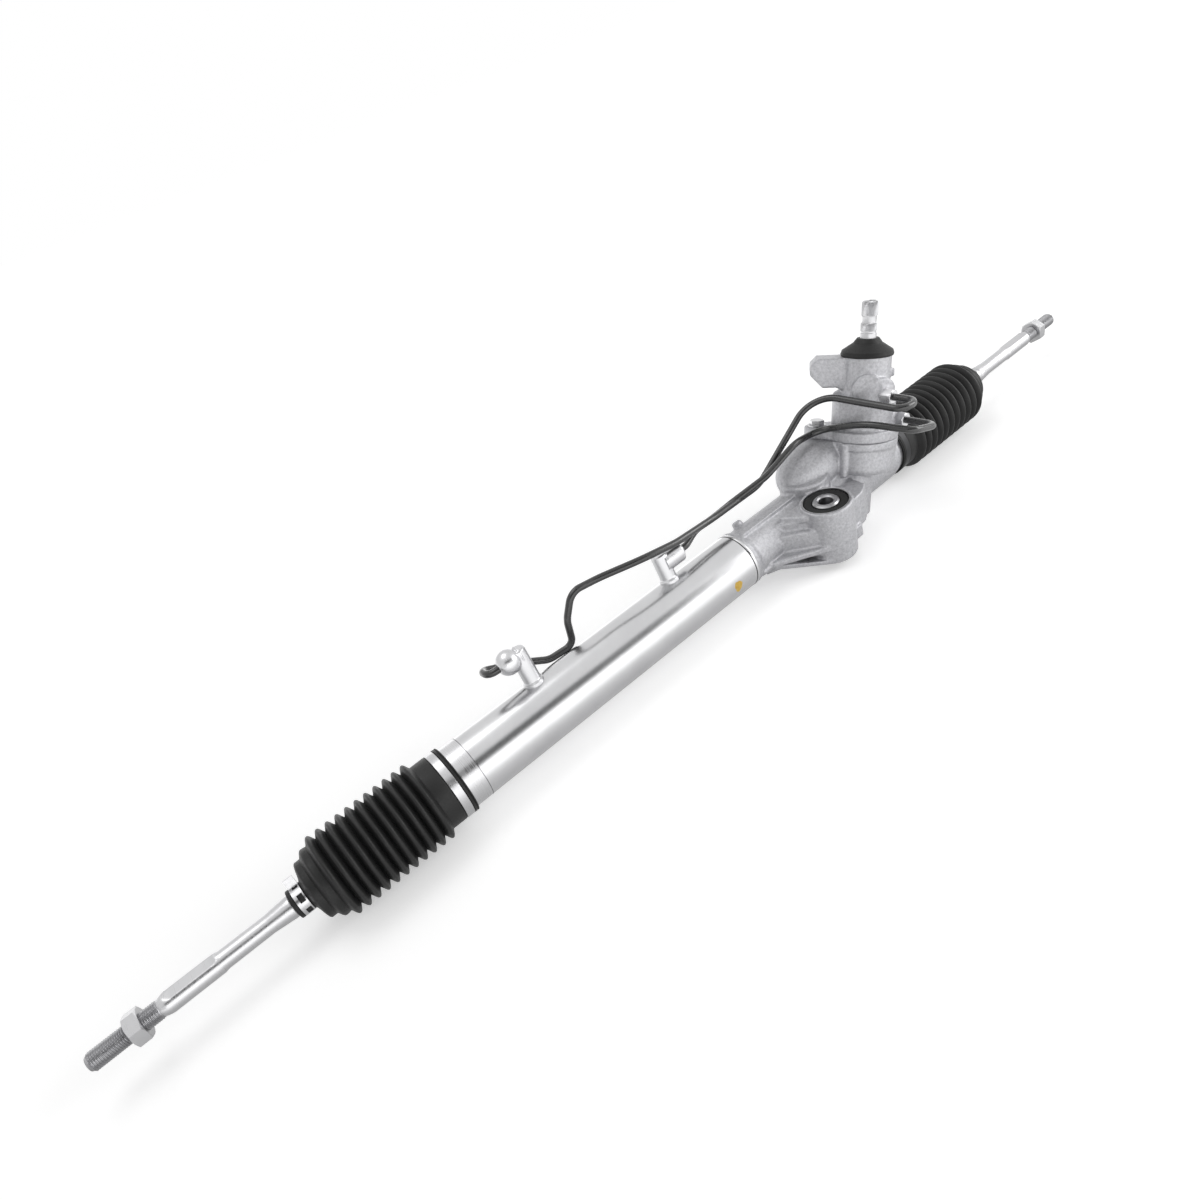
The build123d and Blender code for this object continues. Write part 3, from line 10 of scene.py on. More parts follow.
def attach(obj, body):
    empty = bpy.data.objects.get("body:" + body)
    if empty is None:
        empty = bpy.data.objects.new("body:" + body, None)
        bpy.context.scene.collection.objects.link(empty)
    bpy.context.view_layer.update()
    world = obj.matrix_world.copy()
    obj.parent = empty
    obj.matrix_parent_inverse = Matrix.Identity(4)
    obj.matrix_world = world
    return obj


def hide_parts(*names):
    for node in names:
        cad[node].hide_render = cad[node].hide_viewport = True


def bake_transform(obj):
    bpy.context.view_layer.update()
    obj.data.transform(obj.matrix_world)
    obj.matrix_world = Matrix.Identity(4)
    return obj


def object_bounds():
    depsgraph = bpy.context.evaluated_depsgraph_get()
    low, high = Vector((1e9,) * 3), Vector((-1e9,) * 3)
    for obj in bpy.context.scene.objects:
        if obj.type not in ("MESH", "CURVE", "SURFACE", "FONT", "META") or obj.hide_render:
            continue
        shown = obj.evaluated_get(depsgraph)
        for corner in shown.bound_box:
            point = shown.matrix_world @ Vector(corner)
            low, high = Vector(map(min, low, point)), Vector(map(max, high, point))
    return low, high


# Dressed scene of the steering gear. The CAD frame is in metres with its origin at the
# mount bush's bore. Lengths below are in millimetres and turn into metres by MM; only
# the floor, the lamps and the cards are placed in metres.
MM = 0.001

# Places taken over from the CAD frame
RACK_Y = 41.0
SEAM_X = -83.0
NEAR_MOUTH_X = -400.0
FAR_MOUTH_X = 130.0
NEAR_BALL_X = -505.0
FAR_BALL_X = 261.0
TUBE_R = 26.85
TUBE_START_X = -385.0
PINION_X = 75.0
PINION_Y = 25.0
PINION_TILT = 16.0
# Each side's direction outward along X, its ball and its boot's mouth
SIDES = {"left": (-1, NEAR_BALL_X, NEAR_MOUTH_X), "right": (1, FAR_BALL_X, FAR_MOUTH_X)}

# Camera
CAMERA_PLACE = (-467.91, -444.56, 425.71)
CAMERA_AZIMUTH = -26.256
CAMERA_ELEVATION = 34.2
CAMERA_ROLL = 20.844
CAMERA_LENS = 24.0
SENSOR = 36.0

# Boots; the far one ends 7 mm closer to its ball than the near one
BOOT_LIP_R = 29.3
BOOT_CREST_R = 34.25
BOOT_VALLEY_R = 28.6
BOOT_CRESTS = 13
BOOT_BIG_END = 24.0
BOOT_SMALL_FROM_BALL = {"left": 38.0, "right": 31.0}
BOOT_SMALL_END = 12.0
BOOT_SMALL_R = 10.9
BOOT_WALL = 1.3
TIE_INNER_R = 8.4
CLAMP_FROM_MOUTH = 4.1
CLAMP_WIDTH = 7.0
CLAMP_R = 28.3

# Tie rod
THREAD_PITCH = 1.5
THREAD_DEPTH = 0.85
THREAD_R = 7.0

# Castings: the grid and the smoothing passes of their skins
CAST_VOXEL = 0.9
CAST_PASSES = 5

# Shoulder dome and its foot, y and z from the rack's axis, the top along the pinion's
DOME_R = 26.5
DOME_LONG_R = 42.0
DOME_CENTRE = (40.0, 8.0, 30.0)
DOME_END_X = 60.0
DOME_TOP = 44.8
DOME_FLOOR = 18.0
FOOT_X = 18.5
FOOT_R = 23.5
FOOT_LOW = 16.0
FOOT_TOP = 34.0

# Lowest web, in front of the rack's axis
LOW_WEB_X = (-68.0, -8.0)
LOW_WEB_Z = (-28.5, -21.5)
LOW_WEB_FRONT = -19.0
LOW_WEB_RISE = 9.0
BUSH_BOSS_R = 25.6

# Valve housing, about the pinion's axis
VALVE_BODY_R = 28.6
VALVE_BARREL = (27.0, 31.0)
VALVE_BORE_CLEAR = 21.5
VALVE_FLANGE_LOW = 54.0
VALVE_FLANGE_TOP = 56.0
VALVE_STEP = 85.0
VALVE_STEP_LENGTH = 4.0
VALVE_BODY_CUT = 1.4
VALVE_UPPER_CUT = 2.5
PAD_CENTRES = (-4.0, 14.1)
PAD_HALF = 12.0
PAD_FRONT = VALVE_BODY_R + 0.6
PADS_TOP = 100.0
ARCH_R = 18.0
ARCH_X = -9.0
ARCH_BACK = -5.0
ARCH_HEIGHT = 85.0
COVER_HOLE_R = 12.0
COVER_RAMP = 8.0

# Pipes and port bosses. A port is the X and the height of a pipe's end in the valve
# housing. A post is its X, its length from the rack's axis and its arm's height on it.
PIPE_R = 3.2
PIPE_SEAT = 4.0
NEAR_PORT = (91.76, 86.06)
FAR_PORT = (106.41, 55.74)
PORT_Y = -40.0
FLARE_NUT_Y = -41.0
FLARE_NUT_FLATS = 12.0
FLARE_NUT_LENGTH = 12.0
BOSS_LEAN = 13.5
POST_R = 7.5
NEAR_POST = (-307.5, 59.5, 54.0)
NEAR_KNOB_R = 10.8
NEAR_ARM_LENGTH = 20.0
FAR_POST = (-154.5, 53.0, 43.5)
FAR_ARM_R = 9.5
FAR_ARM_LENGTH = 24.0
FAR_ARM_COLLAR = 21.0

# Input shaft
SERRATIONS = 36
SERRATION_DEPTH = 0.8
SERRATED = (141.0, 166.0)

# Edge radius of the machined CAD nodes in view
CAD_EDGE = 0.3

# Floor: what it adds for the camera under the object and for bright metal, near and far; for bright metal it
# is painted darker near the rack's axis, a painted shadow of the rack in reflections
FLOOR_LIFT = 0.44
FLOOR_FADE = (0.7, 2.2)
FLOOR_SHADED_REFLECTION = (0.62, 1.75)
FLOOR_SHADED_REFLECTION_AT = (0.02, 0.26)


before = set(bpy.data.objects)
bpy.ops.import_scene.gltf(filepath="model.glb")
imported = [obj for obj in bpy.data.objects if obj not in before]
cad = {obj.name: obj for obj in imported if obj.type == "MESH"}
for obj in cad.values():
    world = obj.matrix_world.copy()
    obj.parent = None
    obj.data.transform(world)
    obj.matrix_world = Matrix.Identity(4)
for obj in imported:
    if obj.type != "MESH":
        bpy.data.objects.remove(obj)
cad_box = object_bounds()


# Materials

class Shade:
    """A material being built: its Principled shader and short helpers for its nodes."""

    def __init__(self, name, colour, metallic=0.0, roughness=0.5, **sockets):
        self.material = bpy.data.materials.new(name)
        self.material.use_nodes = True
        self.tree = self.material.node_tree
        self.shader = self.tree.nodes["Principled BSDF"]
        self.set("Base Color", (*colour, 1.0))
        self.set("Metallic", metallic)
        self.set("Roughness", roughness)
        for socket, value in sockets.items():
            self.set(socket.replace("_", " "), value)
        self.place = self.node("ShaderNodeTexCoord").outputs["Object"]

    def node(self, kind, **values):
        made = self.tree.nodes.new(kind)
        for key, value in values.items():
            setattr(made, key, value)
        return made

    def link(self, out, into):
        self.tree.links.new(out, into)

    def set(self, socket, value):
        self.shader.inputs[socket].default_value = value

    def stretched(self, scale):
        """Object coordinates scaled along each axis, in turns per metre."""
        mapping = self.node("ShaderNodeMapping")
        mapping.inputs["Scale"].default_value = scale
        self.link(self.place, mapping.inputs["Vector"])
        return mapping.outputs["Vector"]

    def noise(self, scale, detail=3.0, rough=0.55, stretch=(1, 1, 1)):
        made = self.node("ShaderNodeTexNoise")
        made.inputs["Scale"].default_value = 1.0
        made.inputs["Detail"].default_value = detail
        made.inputs["Roughness"].default_value = rough
        self.link(self.stretched([scale * part for part in stretch]), made.inputs["Vector"])
        return made.outputs["Fac"]

    def ramp(self, source, stops):
        """Map a grey value through (place, colour) stops."""
        made = self.node("ShaderNodeValToRGB")
        elements = made.color_ramp.elements
        while len(elements) < len(stops):
            elements.new(0.5)
        for element, (place, colour) in zip(elements, stops):
            element.position = place
            element.color = (*colour, 1.0)
        self.link(source, made.inputs["Fac"])
        return made.outputs["Color"]

    def spread(self, source, low, high, start=0.0, stop=1.0):
        made = self.node("ShaderNodeMapRange")
        made.inputs["From Min"].default_value = start
        made.inputs["From Max"].default_value = stop
        made.inputs["To Min"].default_value = low
        made.inputs["To Max"].default_value = high
        self.link(source, made.inputs["Value"])
        return made.outputs["Result"]

    def vary_roughness(self, source, low, high):
        self.link(self.spread(source, low, high, 0.3, 0.7), self.shader.inputs["Roughness"])

    def vary_colour(self, source, stops):
        self.link(self.ramp(source, stops), self.shader.inputs["Base Color"])

    def maths(self, operation, *values):
        """A sum over sockets and plain numbers."""
        made = self.node("ShaderNodeMath", operation=operation)
        for value, into in zip(values, made.inputs):
            if isinstance(value, float):
                into.default_value = value
            else:
                self.link(value, into)
        return made.outputs[0]

    def glow(self, strength):
        """White light of the given strength."""
        made = self.node("ShaderNodeEmission")
        made.inputs["Color"].default_value = (1, 1, 1, 1)
        self.link(strength, made.inputs["Strength"])
        return made.outputs[0]

    def bump(self, source, height, previous=None):
        """Raise the surface by the source, height in millimetres."""
        made = self.node("ShaderNodeBump")
        made.inputs["Strength"].default_value = 1.0
        made.inputs["Distance"].default_value = height * MM
        self.link(source, made.inputs["Height"])
        if previous:
            self.link(previous, made.inputs["Normal"])
        return made.outputs["Normal"]

    def finish(self, normal):
        self.link(normal, self.shader.inputs["Normal"])
        return self.material


def grey(level, tint=0.0):
    return (level, level, level + tint)


def cast_metal():
    """Blasted die-cast aluminium: fine grain over a soft mottle."""
    made = Shade("cast_aluminium", grey(0.50), metallic=0.55, roughness=0.5)
    mottle = made.noise(420.0, detail=7.0, rough=0.75)
    stops = ((0.34, grey(0.38, 0.02)), (0.50, grey(0.50, 0.02)), (0.66, grey(0.60, 0.02)))
    made.vary_colour(mottle, stops)
    grain = made.noise(900.0, detail=4.0, rough=0.65)
    made.vary_roughness(grain, 0.42, 0.60)
    coarse = made.bump(made.noise(220.0, detail=3.0), 0.14)
    return made.finish(made.bump(grain, 0.20, coarse))


def machined_metal(name, level, rough, grain=(2600.0, 60.0, 60.0), depth=0.012, uneven=1.0):
    """Turned or ground metal; grain gives its marks' turns per metre along each axis."""
    made = Shade(name, grey(level, 0.01), metallic=1.0, roughness=rough)
    marks = made.noise(1.0, detail=3.0, stretch=grain)
    made.vary_roughness(marks, rough * (1 - 0.15 * uneven), rough * (1 + 0.25 * uneven))
    wear = made.noise(30.0, detail=5.0)
    stops = ((0.25, 0.92), (0.6, 1.0), (0.85, 1.05))
    made.vary_colour(wear, [(place, grey(level * share, 0.01)) for place, share in stops])
    return made.finish(made.bump(marks, depth))


def black_rubber(name, level, rough, grain_height=0.05):
    """Moulded rubber with a faint bloom and a fine skin."""
    made = Shade(name, grey(level), roughness=rough, Specular_IOR_Level=0.35)
    bloom = made.noise(35.0, detail=4.0)
    made.vary_colour(bloom, ((0.3, grey(level * 0.7)), (0.7, grey(level * 1.3))))
    skin = made.noise(700.0, detail=3.0)
    made.vary_roughness(skin, rough - 0.08, rough + 0.08)
    return made.finish(made.bump(skin, grain_height))


def black_pipe():
    """Semi-gloss black coating over drawn pipe, with a slight orange peel."""
    made = Shade("pipe_black", grey(0.010, 0.001), roughness=0.28, Coat_Weight=0.5, Coat_Roughness=0.15)
    peel = made.noise(260.0, detail=2.0)
    made.vary_roughness(peel, 0.22, 0.36)
    tone = made.noise(40.0, detail=3.0)
    made.vary_colour(tone, ((0.3, grey(0.008)), (0.7, grey(0.016, 0.001))))
    return made.finish(made.bump(peel, 0.03))


def plain_finish(name, colour, rough, metallic=0.0):
    """Small inner parts: an even colour broken by a faint mottle."""
    made = Shade(name, colour, metallic=metallic, roughness=rough)
    tone = made.noise(120.0, detail=3.0)
    dark = [part * 0.85 for part in colour]
    light = [min(1.0, part * 1.12) for part in colour]
    made.vary_colour(tone, ((0.3, dark), (0.7, light)))
    grain = made.noise(800.0, detail=2.0)
    made.vary_roughness(grain, rough * 0.85, min(1.0, rough * 1.15))
    return made.finish(made.bump(grain, 0.02))


def yellow_paint():
    made = Shade("paint_yellow", (0.80, 0.52, 0.08), roughness=0.45)
    tone = made.noise(500.0, detail=3.0)
    stops = ((0.3, (0.62, 0.36, 0.05)), (0.55, (0.80, 0.52, 0.08)), (0.8, (0.90, 0.66, 0.22)))
    made.vary_colour(tone, stops)
    return made.finish(made.bump(tone, 0.08))


LOOKS = {
    "cast": cast_metal(),
    "tube": machined_metal("tube_satin", 0.62, 0.25, grain=(60.0, 12.0, 12.0), depth=0.0, uneven=0.15),
    "stopper": machined_metal("stopper_turned", 0.61, 0.28, grain=(3200.0, 30.0, 30.0), depth=0.010),
    "turned": machined_metal("steel_turned", 0.58, 0.30),
    "shaft": machined_metal("tie_rod_steel", 0.58, 0.30, grain=(1800.0, 50.0, 50.0), depth=0.010),
    "thread": machined_metal("thread_steel", 0.36, 0.36, grain=(900.0, 200.0, 200.0), depth=0.008),
    "spline": machined_metal("spline_steel", 0.52, 0.36, grain=(700.0, 700.0, 700.0), depth=0.010),
    "plated": machined_metal("zinc_plated", 0.56, 0.30, grain=(300.0, 300.0, 300.0), depth=0.008),
    "gear": machined_metal("gear_steel", 0.42, 0.33, grain=(600.0, 600.0, 600.0), depth=0.010),
    "edge": machined_metal("cut_aluminium", 0.66, 0.28, grain=(2400.0, 60.0, 60.0), depth=0.008),
    "boot": black_rubber("boot_rubber", 0.012, 0.50),
    "rubber": black_rubber("seal_rubber", 0.010, 0.55, 0.04),
    "pipe": black_pipe(),
    "clamp_dark": plain_finish("clamp_blackened", (0.030, 0.030, 0.032), 0.42, 0.5),
    "bronze": plain_finish("bush_bronze", (0.50, 0.33, 0.16), 0.35, 1.0),
    "plastic": plain_finish("slide_plastic", (0.72, 0.69, 0.60), 0.45),
    "paint": yellow_paint(),
    # painted shade: the dark finish of the rings that stand in for the shade in the seams
    "seam_shade": plain_finish("seam_shadow", (0.012, 0.012, 0.013), 0.7),
}

CAD_LOOKS = {
    "cast": ["rack_housing", "valve_housing", "rack_guide"],
    "tube": ["cylinder_tube"],
    "stopper": ["end_stopper"],
    "turned": ["port_boss_near", "port_boss_far", "mount_bush_shell", "mount_bush_sleeve", "adjusting_plug"],
    "plated": [
        "pipe_flare_nuts", "housing_bolts", "plug_lock_nut", "boot_clamp_left", "boot_clamp_right",
        "jam_nut_left", "jam_nut_right", "small_clamp_left", "small_clamp_right",
        "tab_washer_left", "tab_washer_right",
    ],
    "rubber": [
        "dust_cover", "mount_bush_rubber", "stopper_rod_seal", "inner_rod_seal", "housing_o_ring",
        "input_shaft_seal", "pinion_seal",
    ],
    "pipe": ["turn_pipe_left", "turn_pipe_right"],
    "bronze": ["stopper_bush", "rack_end_bush"],
    "plastic": ["rack_guide_pad", "sleeve_seal_rings", "piston_ring", "ball_liner_left", "ball_liner_right"],
    "boot": ["boot_left", "boot_right"],
    "shaft": ["tie_rod_left", "tie_rod_right"],
    "spline": ["input_shaft"],
}


def dress(piece, look):
    """Give a piece one material in all its slots."""
    slots = piece.data.materials
    if len(slots) == 0:
        slots.append(LOOKS[look])
    for index in range(len(slots)):
        slots[index] = LOOKS[look]


def dress_frame():
    """Every CAD node gets its material; what isn't named is plain gear steel."""
    named = {node: look for look, nodes in CAD_LOOKS.items() for node in nodes}
    for node, piece in cad.items():
        dress(piece, named.get(node, "gear"))


# Mesh helpers. Rings are drawn about Z, in millimetres.

def rising(value, start, length):
    """0 up to the start, 1 beyond the length, and straight between them."""
    return min(1.0, max(0.0, (value - start) / length))


@contextmanager
def editing(data):
    """A mesh opened for changes and written back after them."""
    work = bmesh.new()
    work.from_mesh(data)
    yield work
    work.to_mesh(data)
    work.free()


def new_object(name, data):
    """An object in the scene with this data."""
    made = bpy.data.objects.new(name, data)
    bpy.context.scene.collection.objects.link(made)
    return made


def raw_mesh(vertices, faces, name="raw"):
    """A mesh from millimetre points, its faces turned outward."""
    data = bpy.data.meshes.new(name)
    data.from_pydata([tuple(part * MM for part in v) for v in vertices], [], faces)
    data.update()
    with editing(data) as work:
        bmesh.ops.recalc_face_normals(work, faces=work.faces)
    return data


def mesh_object(name, vertices, faces, look, flat_angle=35.0):
    """An object in the CAD frame from millimetre points, smooth except at sharp edges."""
    data = raw_mesh(vertices, faces, name)
    with editing(data) as work:
        for face in work.faces:
            face.smooth = True
        for edge in work.edges:
            if len(edge.link_faces) == 2 and edge.calc_face_angle() > radians(flat_angle):
                edge.smooth = False
    piece = new_object(name, data)
    dress(piece, look)
    return piece


def reshaped(node, name, move):
    """A copy of a CAD node with its points moved; it keeps the node's look."""
    data = cad[node].data.copy()
    for vertex in data.vertices:
        vertex.co = move(vertex.co)
    return new_object(name, data)


def grid_faces(rows, columns, cap_low=False, cap_high=False):
    """Faces between closed rings of vertices that follow each other."""
    faces = []
    for row in range(rows - 1):
        for column in range(columns):
            after = (column + 1) % columns
            low, high = row * columns, (row + 1) * columns
            faces.append((low + column, low + after, high + after, high + column))
    if cap_low:
        faces.append(tuple(reversed(range(columns))))
    if cap_high:
        start = (rows - 1) * columns
        faces.append(tuple(range(start, start + columns)))
    return faces


def ring_grid(rows, columns, radius, cap_low=False, cap_high=False):
    """Vertices and faces of a tube whose radius(row, angle) may vary; rows are heights."""
    vertices = []
    for row, height in enumerate(rows):
        for column in range(columns):
            angle = 2 * pi * column / columns
            r = radius(row, angle)
            vertices.append((r * cos(angle), r * sin(angle), height))
    return vertices, grid_faces(len(rows), columns, cap_low, cap_high)


def lathe(profile, columns=72, cap=True):
    """A turned skin from (radius, height) points, open or capped at both ends."""
    rows = [height for _, height in profile]
    radii = [r for r, _ in profile]
    return ring_grid(rows, columns, lambda row, angle: radii[row], cap_low=cap, cap_high=cap)


def closed_lathe(profile, columns=96):
    """A turned ring whose (radius, height) outline closes on itself."""
    count = len(profile)
    vertices, faces = lathe(profile, columns, cap=False)
    last = (count - 1) * columns
    for column in range(columns):
        after = (column + 1) % columns
        faces.append((last + column, last + after, after, column))
    return vertices, faces


def laid(vertices, side, ball_x):
    """Lay points drawn about Z outward along the rack from a place on its axis."""
    turn = Matrix.Rotation(radians(90 * side), 3, "Y")
    shift = Vector((ball_x, RACK_Y, 0))
    return [tuple(turn @ Vector(v) + shift) for v in vertices]


def at_gear(vertices):
    """Points drawn about the pinion's axis, in the CAD frame."""
    turn = Matrix.Rotation(radians(PINION_TILT), 3, "Y")
    shift = Vector((PINION_X, PINION_Y, 0))
    return [tuple(turn @ Vector(v) + shift) for v in vertices]


def piece_for(piece, body, slot, *nodes):
    """Let a piece ride on a body in place of CAD nodes."""
    if nodes:
        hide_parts(*nodes)
    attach(piece, body)
    return piece


# Modifiers

def thicken(piece):
    """Give a boot's skin its wall, inward."""
    wall = piece.modifiers.new("wall", "SOLIDIFY")
    wall.thickness = BOOT_WALL * MM
    wall.offset = -1.0


def bevel(piece, width):
    """Break the sharp edges of a piece, CAD nodes included."""
    edge = piece.modifiers.new("edge", "BEVEL")
    edge.width = width * MM
    edge.segments = 2
    edge.limit_method = "ANGLE"
    edge.angle_limit = radians(40.0)
    edge.harden_normals = True


# Castings: the CAD solids' skins with cast edges, and the forms that are added to them

def cast_skin(node, added, reshape):
    """The node's shape remeshed evenly and relaxed, so that every edge gets a cast radius."""
    data = cad[node].data.copy()
    with editing(data) as work:
        bmesh.ops.remove_doubles(work, verts=work.verts, dist=0.002 * MM)
        for vertex in work.verts:
            vertex.co = reshape(vertex.co)
    piece = fused(f"{node}_cast", [data, *added], CAST_VOXEL, CAST_PASSES, "cast")
    return piece_for(piece, "housing", "cast_aluminium", node)


def joined(meshes):
    """One mesh of several."""
    work = bmesh.new()
    for data in meshes:
        work.from_mesh(data)
    whole = bpy.data.meshes.new("joined")
    work.to_mesh(whole)
    work.free()
    return whole


def fused(name, meshes, voxel, passes, look):
    """One skin over closed meshes that overlap, with a fillet where they meet."""
    rough = new_object(f"{name}_rough", joined(meshes))
    remesh = rough.modifiers.new("even", "REMESH")
    remesh.mode = "VOXEL"
    remesh.voxel_size = voxel * MM
    relax = rough.modifiers.new("relax", "SMOOTH")
    relax.factor = 0.5
    relax.iterations = passes
    graph = bpy.context.evaluated_depsgraph_get()
    skin = bpy.data.meshes.new_from_object(rough.evaluated_get(graph))
    bpy.data.objects.remove(rough)
    skin.name = name
    for face in skin.polygons:
        face.use_smooth = True
    piece = new_object(name, skin)
    dress(piece, look)
    return piece


def cut_ahead(data, place, normal):
    """Cut off the part of a closed mesh that lies ahead of a plane, and close the cut."""
    with editing(data) as work:
        geometry = list(work.verts) + list(work.edges) + list(work.faces)
        cut = bmesh.ops.bisect_plane(
            work, geom=geometry, plane_co=Vector(place) * MM, plane_no=normal, clear_outer=True)
        edges = [part for part in cut["geom_cut"] if isinstance(part, bmesh.types.BMEdge)]
        bmesh.ops.contextual_create(work, geom=edges)
        bmesh.ops.recalc_face_normals(work, faces=work.faces)


def housing_shoulder():
    """The domed shoulder between the mount boss and the pinion pocket, and its round foot."""
    centre_x, centre_y, centre_z = DOME_CENTRE
    profile = []
    for turn in np.linspace(radians(2.0), radians(90.0), 24):
        profile.append((DOME_R * sin(turn), centre_x - DOME_LONG_R * cos(turn)))
    profile.append((DOME_R, DOME_END_X))
    vertices, faces = lathe(profile, 72)
    quarter = Matrix.Rotation(radians(90), 3, "Y")
    shift = Vector((0.0, RACK_Y + centre_y, centre_z))
    dome = raw_mesh([quarter @ Vector(v) + shift for v in vertices], faces)
    axis = Vector((sin(radians(PINION_TILT)), 0.0, cos(radians(PINION_TILT))))
    cut_ahead(dome, Vector((PINION_X, PINION_Y, 0.0)) + axis * DOME_TOP, axis)
    cut_ahead(dome, (0.0, 0.0, DOME_FLOOR), Vector((0.0, 0.0, -1.0)))
    outline = [(FOOT_R, FOOT_LOW), (FOOT_R, FOOT_TOP - 1.0), (FOOT_R - 1.0, FOOT_TOP)]
    vertices, faces = lathe(outline, 72)
    foot = raw_mesh([(x + FOOT_X, y + RACK_Y, z) for x, y, z in vertices], faces)
    return [dome, foot]


def prism(plan, low, high):
    """A closed upright prism over points from the rack's axis."""
    vertices = [(x, y + RACK_Y, height) for height in (low, high) for x, y in plan]
    return raw_mesh(vertices, grid_faces(2, len(plan), cap_low=True, cap_high=True))


def web_fill():
    """Metal between the webs in front of the neck, so that the pockets stay shallow."""
    lower = [(-52.0, -18.0), (-12.0, -58.0), (0.0, -41.0), (0.0, -10.0), (-52.0, -10.0)]
    upper = [(-44.0, -15.0), (-12.0, -52.0), (0.0, -41.0), (0.0, -10.0), (-44.0, -10.0)]
    return [prism(lower, low=-17.0, high=11.0), prism(upper, low=8.0, high=20.0)]


def raise_low_web(point):
    """Lift the lowest web's free edge to the photographed outline; the bush's boss stays."""
    x, y, z = Vector(point) / MM
    y -= RACK_Y
    on_web = LOW_WEB_X[0] < x < LOW_WEB_X[1] and LOW_WEB_Z[0] < z < LOW_WEB_Z[1]
    on_boss = hypot(x, y + RACK_Y) <= BUSH_BOSS_R
    if not on_web or y >= LOW_WEB_FRONT or on_boss:
        return point
    return Vector((x, y + RACK_Y, z + LOW_WEB_RISE)) * MM


# Valve housing and dust cover

def to_gear(point):
    """A point of the CAD frame in the pinion's frame, in millimetres."""
    turn = Matrix.Rotation(radians(-PINION_TILT), 3, "Y")
    return turn @ (Vector(point) / MM - Vector((PINION_X, PINION_Y, 0)))


def from_gear(point):
    return Vector(at_gear([point])[0]) * MM


def slim_valve(point):
    """Draw the valve housing's outside, with its port pads, in to the photographed widths."""
    x, y, height = to_gear(point)
    r = hypot(x, y)
    on_barrel = VALVE_BARREL[0] < r < VALVE_BARREL[1]
    outside = r >= VALVE_BORE_CLEAR and height >= VALVE_FLANGE_LOW
    if not outside or not (on_barrel or height > VALVE_FLANGE_TOP):
        return point
    share = rising(height, VALVE_STEP, VALVE_STEP_LENGTH)
    cut = VALVE_BODY_CUT + (VALVE_UPPER_CUT - VALVE_BODY_CUT) * share
    slim = Vector((x, y, height))
    slim.xy *= (r - cut) / r
    on_pad = any(abs(x - centre) < PAD_HALF for centre in PAD_CENTRES)
    if on_pad and slim.y < -PAD_FRONT and height < PADS_TOP:
        slim.y = -PAD_FRONT
    return from_gear(slim)


def slim_cover(point):
    """Draw the dust cover in with the valve housing, but not at the shaft's hole."""
    x, y, height = to_gear(point)
    r = hypot(x, y)
    cut = VALVE_UPPER_CUT * rising(r, COVER_HOLE_R, COVER_RAMP)
    slim = Vector((x, y, height))
    slim.xy *= (r - cut) / r
    return from_gear(slim)


def arch_boss():
    """The arched shoulder in front of the valve housing's upper part, flush with its lower part."""
    shares = [0.02, 0.2, 0.4, 0.6, 0.8, 0.92, 1.0, 1.0]
    rows = range(len(shares))

    def radius(row, angle):
        return ARCH_R * shares[row]

    vertices, faces = ring_grid(rows, 64, radius, cap_low=True, cap_high=True)
    placed = []
    for across, up, row in vertices:
        x = ARCH_X + across
        front = -sqrt((VALVE_BODY_R - 0.1) ** 2 - x * x)
        placed.append((x, ARCH_BACK if row == rows[-1] else front, ARCH_HEIGHT + up))
    return raw_mesh(at_gear(placed), faces)


def add_dust_cover():
    cover = reshaped("dust_cover", "dust_cover_drawn_in", slim_cover)
    piece_for(cover, "housing", "seal_rubber", "dust_cover")


# Pipes, port bosses and flare nuts

def rounded_path(points, radii):
    """The points of a path along way-points, with an arc of its own radius at each corner."""
    path = [Vector(points[0])]
    for before, corner, after, r in zip(points, points[1:], points[2:], radii):
        corner = Vector(corner)
        back = (Vector(before) - corner).normalized()
        ahead = (Vector(after) - corner).normalized()
        half = back.angle(ahead) / 2
        sweep = pi - 2 * half
        if sweep < 0.01:
            continue
        centre = corner + (back + ahead).normalized() * (r / sin(half))
        start = corner + back * (r / tan(half)) - centre
        stop = corner + ahead * (r / tan(half)) - centre
        steps = max(2, ceil(sweep / radians(6.0)))
        for step in range(steps + 1):
            turn = sweep * step / steps
            path.append(centre + (start * sin(sweep - turn) + stop * sin(turn)) / sin(sweep))
    path.append(Vector(points[-1]))
    clean = path[:1]
    for point in path[1:]:
        if (point - clean[-1]).length > 0.05:
            clean.append(point)
    return clean


def add_pipe(name, node, points, radii):
    """A bent pipe: rings carried along the path without twist."""
    columns = 24
    path = rounded_path([(x, y + RACK_Y, z) for x, y, z in points], radii)
    side = Vector((0.31, 0.23, 0.92))
    vertices = []
    for index, point in enumerate(path):
        run = (path[min(index + 1, len(path) - 1)] - path[max(index - 1, 0)]).normalized()
        side = (side - run * side.dot(run)).normalized()
        across = run.cross(side)
        for column in range(columns):
            turn = 2 * pi * column / columns
            vertices.append(point + (side * cos(turn) + across * sin(turn)) * PIPE_R)
    faces = grid_faces(len(path), columns, cap_low=True, cap_high=True)
    pipe = mesh_object(name, vertices, faces, "pipe", 60.0)
    piece_for(pipe, "housing", "pipe_black", node)


def arm_point(post, reach):
    """A point on a port boss's arm, by its reach along X from the post."""
    x, _, height = post
    lean = radians(BOSS_LEAN)
    return (x + reach, height * sin(lean), height * cos(lean))


